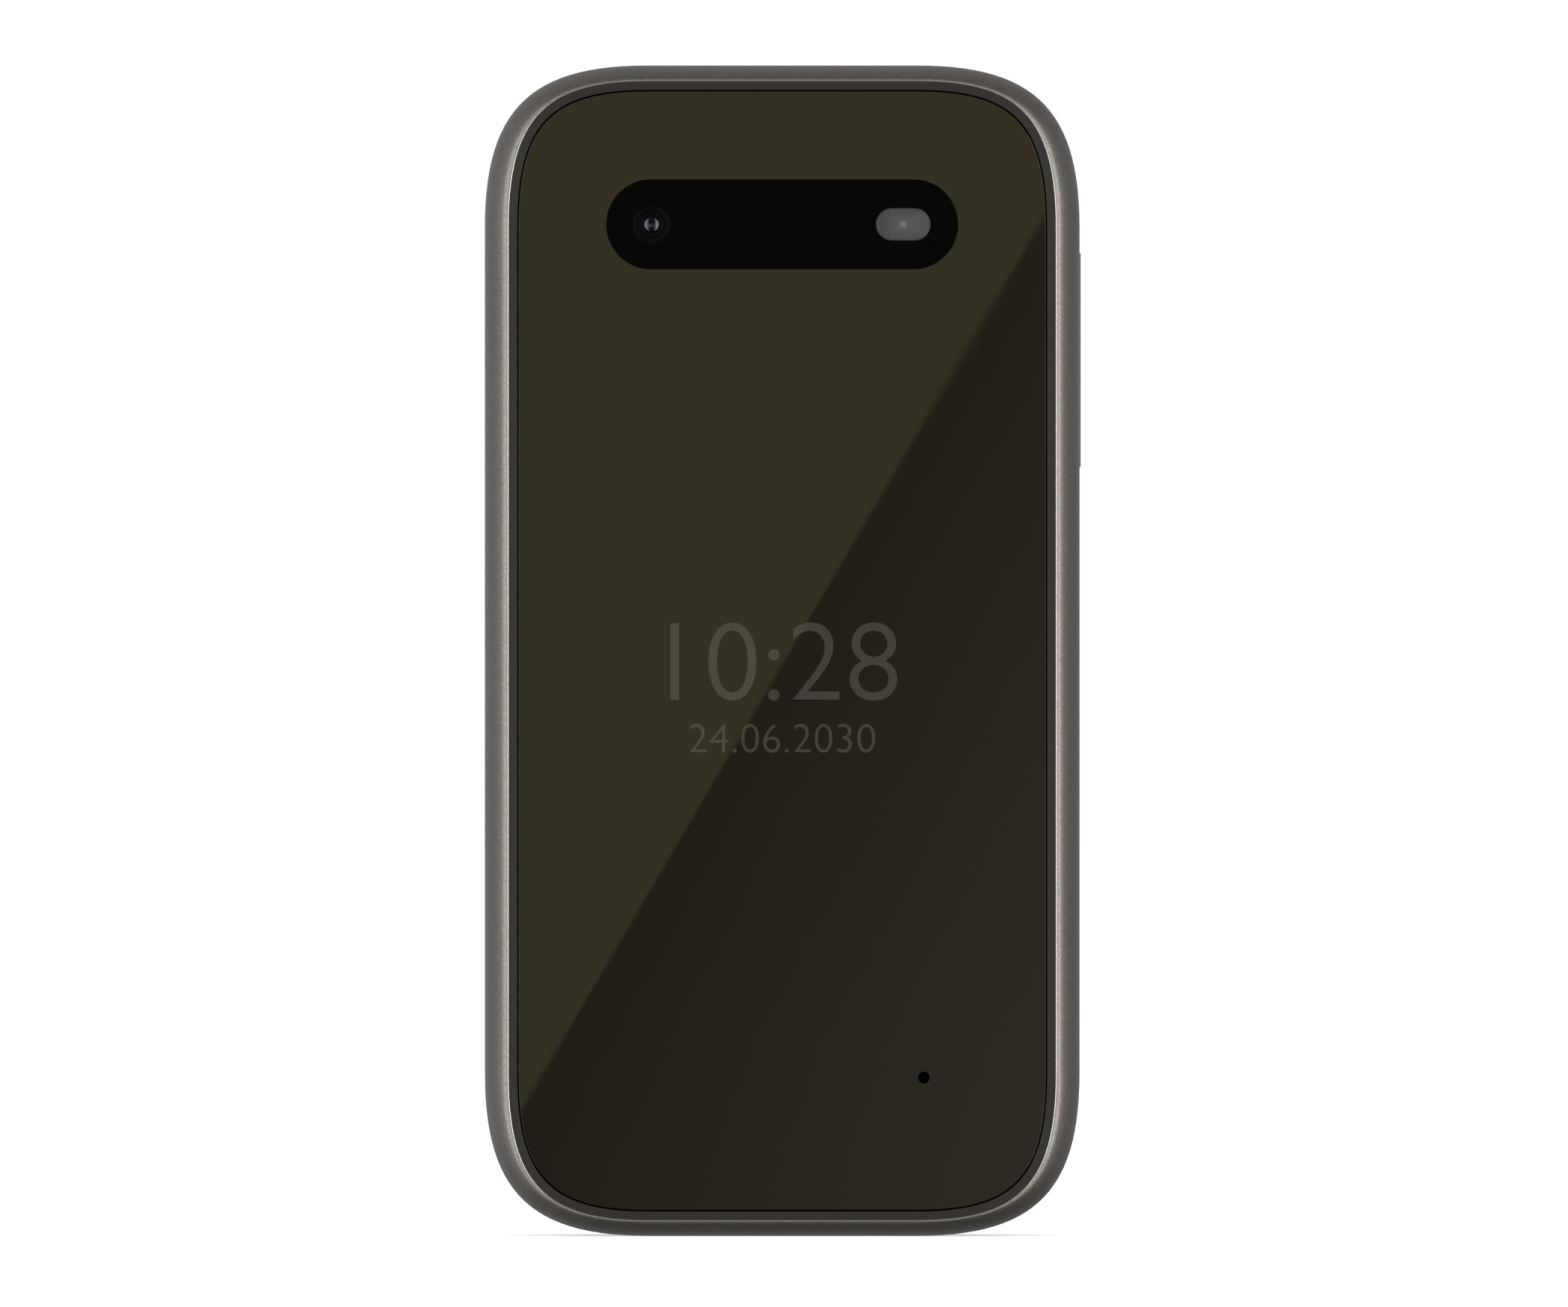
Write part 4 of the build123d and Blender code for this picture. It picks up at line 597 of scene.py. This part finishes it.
select = closed_skin("select_cap", pad_rings(np.vstack([
    [(-3.95, 0.65), (-3.95, 0.15), (0, 0.15)],
    eased([(0, 0.1), (0, KEY_TOP + 0.1), (-1.0, KEY_TOP + 0.12), (-4.0, KEY_TOP + 0.3)], 0.3, 6)]),
    2 * SELECT_R, 2 * SELECT_R, SELECT_R, 0, NAV_UP, 20), "soft_touch_key_coat")
stands_for(select, "select_key")
for name, x, z in (("up", 0, 1), ("down", 0, -1), ("left", -1, 0), ("right", 1, 0)):
    thing = turned(f"ring_dot_{name}", [(0.35, KEY_TOP + 0.1), (0.35, KEY_TOP - 0.005)], x * NAV_DOT_OUT,
                   NAV_UP + z * NAV_DOT_OUT, "key_legend_ink", 24)
    mount(smooth(thing), "ring", "key_plastic")

# The volume rocker: a bar in the side wall, its corners and its proud edge eased.
rocker = closed_skin("volume_rocker_bar", pad_rings(eased(
    [(-0.5, 24.95), (0.35, 24.95), (0.35, 25.6), (0, 25.6), (0, HALF_W + ROCKER_PROUD),
     (-0.6, HALF_W + ROCKER_PROUD)], 0.16, 5),
    ROCKER_T, ROCKER_L, 0.3, ROCKER_Y, ROCKER_UP, 6, True), "satin_flake_lacquer")
stands_for(rocker, "volume_rocker")


def round_the_keys(name, inner, outer, face, top, look, slot):
    """A low wall that follows the phone's outline on the key side, up to a height."""
    wall = closed_skin(name, oblong_rings([(inner, inner, -1.4), (inner, inner, face), (outer, outer, face),
                                           (outer, outer, -1.4)]), look, ring_shaped=True)
    joined(wall, [block(-HALF_W, HALF_W, -3, 0, 0, top)], "INTERSECT")
    return mount(smooth(wall), "base", slot)


# The closing rib and the rubber dust seal shut the gap between lid and base.
round_the_keys("closing_rib", 2.1, 2.8, -2.0, 96.75, "satin_flake_lacquer", "satin_paint")
round_the_keys("dust_seal", 0.45, 1.9, -1.76, 98.5, "buffer_rubber", "buffer_rubber")
# Two seal rings on the lid's barrel keep light and dust out of the hinge's groove.
for side in (-1, 1):
    x0, x1 = sorted((side * 16.5, side * 17.7))
    seal = closed_skin("seal_ring" + ("_left" if side < 0 else "_right"),
                       rod_rings([(5.0, x0), (5.925, x0), (5.925, x1), (5.0, x1)]), "buffer_rubber", ring_shaped=True)
    joined(seal, [closed_skin("room", oblong_rings([(0.3, 0.3, -4.5), (0.3, 0.3, 2)]))], "INTERSECT")
    mount(smooth(seal), "lid", "buffer_rubber")


# ---- stage --------------------------------------------------------------------------------------

def only_for_mirrors(thing):
    """Such a piece of the stage gives no light and no shadow: only mirrors see it."""
    for ray in ("camera", "diffuse", "transmission", "volume_scatter", "shadow"):
        setattr(thing, f"visible_{ray}", False)
    return thing


def card(name, corners, look):
    """A flat four-cornered card, corners in metres."""
    mesh = bpy.data.meshes.new(name)
    mesh.from_pydata(corners, [], [(0, 1, 2, 3)])
    mesh.materials.append(look)
    thing = bpy.data.objects.new(name, mesh)
    bpy.context.scene.collection.objects.link(thing)
    return thing


def seen_directly(tree):
    """1 for camera, mirror and see-through rays, 0 for the rest."""
    light = add(tree, "ShaderNodeLightPath").outputs
    seen = light["Is Camera Ray"]
    for ray in ("Is Glossy Ray", "Is Transmission Ray"):
        seen = calc(tree, "MAXIMUM", seen, light[ray])
    return seen


def pale_floor():
    """Pale matt floor: white where no shadow falls, to the camera and in mirrors."""
    made, tree = material("pale_floor")
    matt = add(tree, "ShaderNodeBsdfDiffuse", {"Color": linear("#d8d8d8")}).outputs[0]
    lift = add(tree, "ShaderNodeEmission", {"Color": (1, 1, 1, 1), "Strength": 0.6}).outputs[0]
    both = add(tree, "ShaderNodeAddShader", {0: matt, 1: lift}).outputs[0]
    shade(tree, add(tree, "ShaderNodeMixShader", {0: seen_directly(tree), 1: matt, 2: both}).outputs[0])
    return made


def studio_walls():
    """The dim room that mirrors see, as light L by direction d, with A the angle from the front:
    L = 0.17 + d . (-0.12, 0.12, 0.08) + min(1.3, 3.7 exp(-A / 0.7)) (|d_x| / sin A)^4,
    brightest to the left and right in front, dimmer behind, above and below."""
    made, tree = material("studio_walls")
    place = add(tree, "ShaderNodeTexCoord").outputs["Object"]
    way = add(tree, "ShaderNodeVectorMath", {0: place, 1: AIM}, operation="SUBTRACT").outputs[0]
    way = add(tree, "ShaderNodeVectorMath", {0: way}, operation="NORMALIZE").outputs[0]
    part = add(tree, "ShaderNodeSeparateXYZ", {0: way})
    angle = calc(tree, "ARCCOSINE", calc(tree, "MULTIPLY", part.outputs["Y"], -1.0))
    fade = calc(tree, "MULTIPLY", calc(tree, "EXPONENT", calc(tree, "DIVIDE", angle, -0.7)), 3.7)
    level = calc(tree, "POWER", calc(tree, "DIVIDE", calc(tree, "ABSOLUTE", part.outputs["X"]),
                                     calc(tree, "MAXIMUM", calc(tree, "SINE", angle), 0.001)), 4.0)
    side = calc(tree, "MULTIPLY", calc(tree, "MINIMUM", fade, 1.3), level)
    lean = add(tree, "ShaderNodeVectorMath", {0: way, 1: (-0.12, 0.12, 0.08)}, operation="DOT_PRODUCT").outputs["Value"]
    total = calc(tree, "ADD", side, calc(tree, "ADD", lean, 0.17))
    shade(tree, add(tree, "ShaderNodeEmission", {"Strength": total}).outputs[0])
    made.cycles.emission_sampling = "NONE"
    return made


def slanting_reflection():
    """What the panel mirrors: evenly lit above a slanting line, below it dark and slowly brighter with distance.
    The line is where x sin a - z cos a + c = 0, a being its slope of 59.6 degrees."""
    made, tree = material("slanting_reflection")
    place = add(tree, "ShaderNodeTexCoord").outputs["Object"]
    off = add(tree, "ShaderNodeVectorMath", {0: place, 1: (0.863, 0, -0.505)}, operation="DOT_PRODUCT").outputs["Value"]
    off = calc(tree, "ADD", off, 0.02665)
    far = add(tree, "ShaderNodeMapRange", {"Value": off, "From Min": 0.0, "From Max": 0.0558}).outputs[0]
    low = add(tree, "ShaderNodeMix", {"Factor": far, 6: (0.13, 0.11, 0.075, 1), 7: (0.50, 0.47, 0.36, 1)},
              data_type="RGBA").outputs[2]
    edge = add(tree, "ShaderNodeMapRange", {"Value": off, "From Min": -0.0002, "From Max": 0.0002}).outputs[0]
    tone = add(tree, "ShaderNodeMix", {"Factor": edge, 6: (0.59, 0.54, 0.30, 1), 7: low}, data_type="RGBA").outputs[2]
    shade(tree, add(tree, "ShaderNodeEmission", {"Color": tone, "Strength": 1.0}).outputs[0])
    made.cycles.emission_sampling = "NONE"
    return made


FLOOR, WALLS_R = 8.0, 2000.0  # half the floor's side in metres; radius of the walls in mm
floor = card("floor", [(-FLOOR, -FLOOR, 0), (FLOOR, -FLOOR, 0), (FLOOR, FLOOR, 0), (-FLOOR, FLOOR, 0)], pale_floor())
floor.visible_glossy = False  # so that it never shows in the panel with an edge
studio_walls()
turn = np.linspace(0.01, np.pi - 0.01, 25)
walls = closed_skin("studio_walls", rod_rings(np.stack([WALLS_R * np.sin(turn), -WALLS_R * np.cos(turn)], -1),
                                              0, AIM.z / MM, 48), "studio_walls")
only_for_mirrors(walls)
side, away, low, high = 0.033, -0.815, -0.012, 0.12  # the card just covers what the panel mirrors
only_for_mirrors(card("slanting_reflection", [(-side, away, low), (side, away, low), (side, away, high),
                                              (-side, away, high)], slanting_reflection()))

world = bpy.data.worlds.new("studio")
bpy.context.scene.world = world
world.use_nodes = True
world.node_tree.nodes.clear()
level = add(world.node_tree, "ShaderNodeMapRange", {"Value": seen_directly(world.node_tree),
                                                    "To Min": 0.75, "To Max": 1.0})
sky = add(world.node_tree, "ShaderNodeBackground", {"Color": (1, 1, 1, 1), "Strength": level.outputs[0]})
add(world.node_tree, "ShaderNodeOutputWorld", {"Surface": sky.outputs[0]})


def softbox(name, place, width, height, radiance, mirrored_too=True):
    """An even rectangular lamp aimed at the phone; its power is pi x area x radiance."""
    lamp = bpy.data.lights.new(name, "AREA")
    lamp.shape = "RECTANGLE"
    lamp.size, lamp.size_y = width, height
    lamp.energy = np.pi * width * height * radiance
    thing = bpy.data.objects.new(name, lamp)
    bpy.context.scene.collection.objects.link(thing)
    thing.location = place
    thing.rotation_euler = (Vector(place) - AIM).to_track_quat("Z", "Y").to_euler()
    thing.visible_camera = False
    thing.visible_glossy = mirrored_too
    return thing


softbox("softbox_left", (-0.40, -0.95, 0.054), 0.58, 0.66, 2.5)
softbox("softbox_right", (0.37, -0.95, 0.054), 0.54, 0.66, 3.3)
softbox("softbox_above", (0, 0.25, 1.1), 0.8, 0.8, 1.3, False)
softbox("softbox_behind_left", (-0.8, 0.8, 0.5), 0.5, 0.6, 2.0, False)
softbox("softbox_behind_right", (0.8, 0.8, 0.5), 0.5, 0.6, 2.0, False)

# A very long lens from four metres away, level with the phone's middle: hardly any perspective.
eye = bpy.data.cameras.new("camera")
eye.lens, eye.sensor_width = 1007.1, 36.0
eye.clip_start, eye.clip_end = 0.1, 40
camera = bpy.data.objects.new("camera", eye)
bpy.context.scene.collection.objects.link(camera)
camera.location = (0.000166, -4.0692, 0.05394)
camera.rotation_euler = (np.pi / 2, 0, 0)
bpy.context.scene.camera = camera
bpy.context.scene.view_settings.view_transform = "Standard"
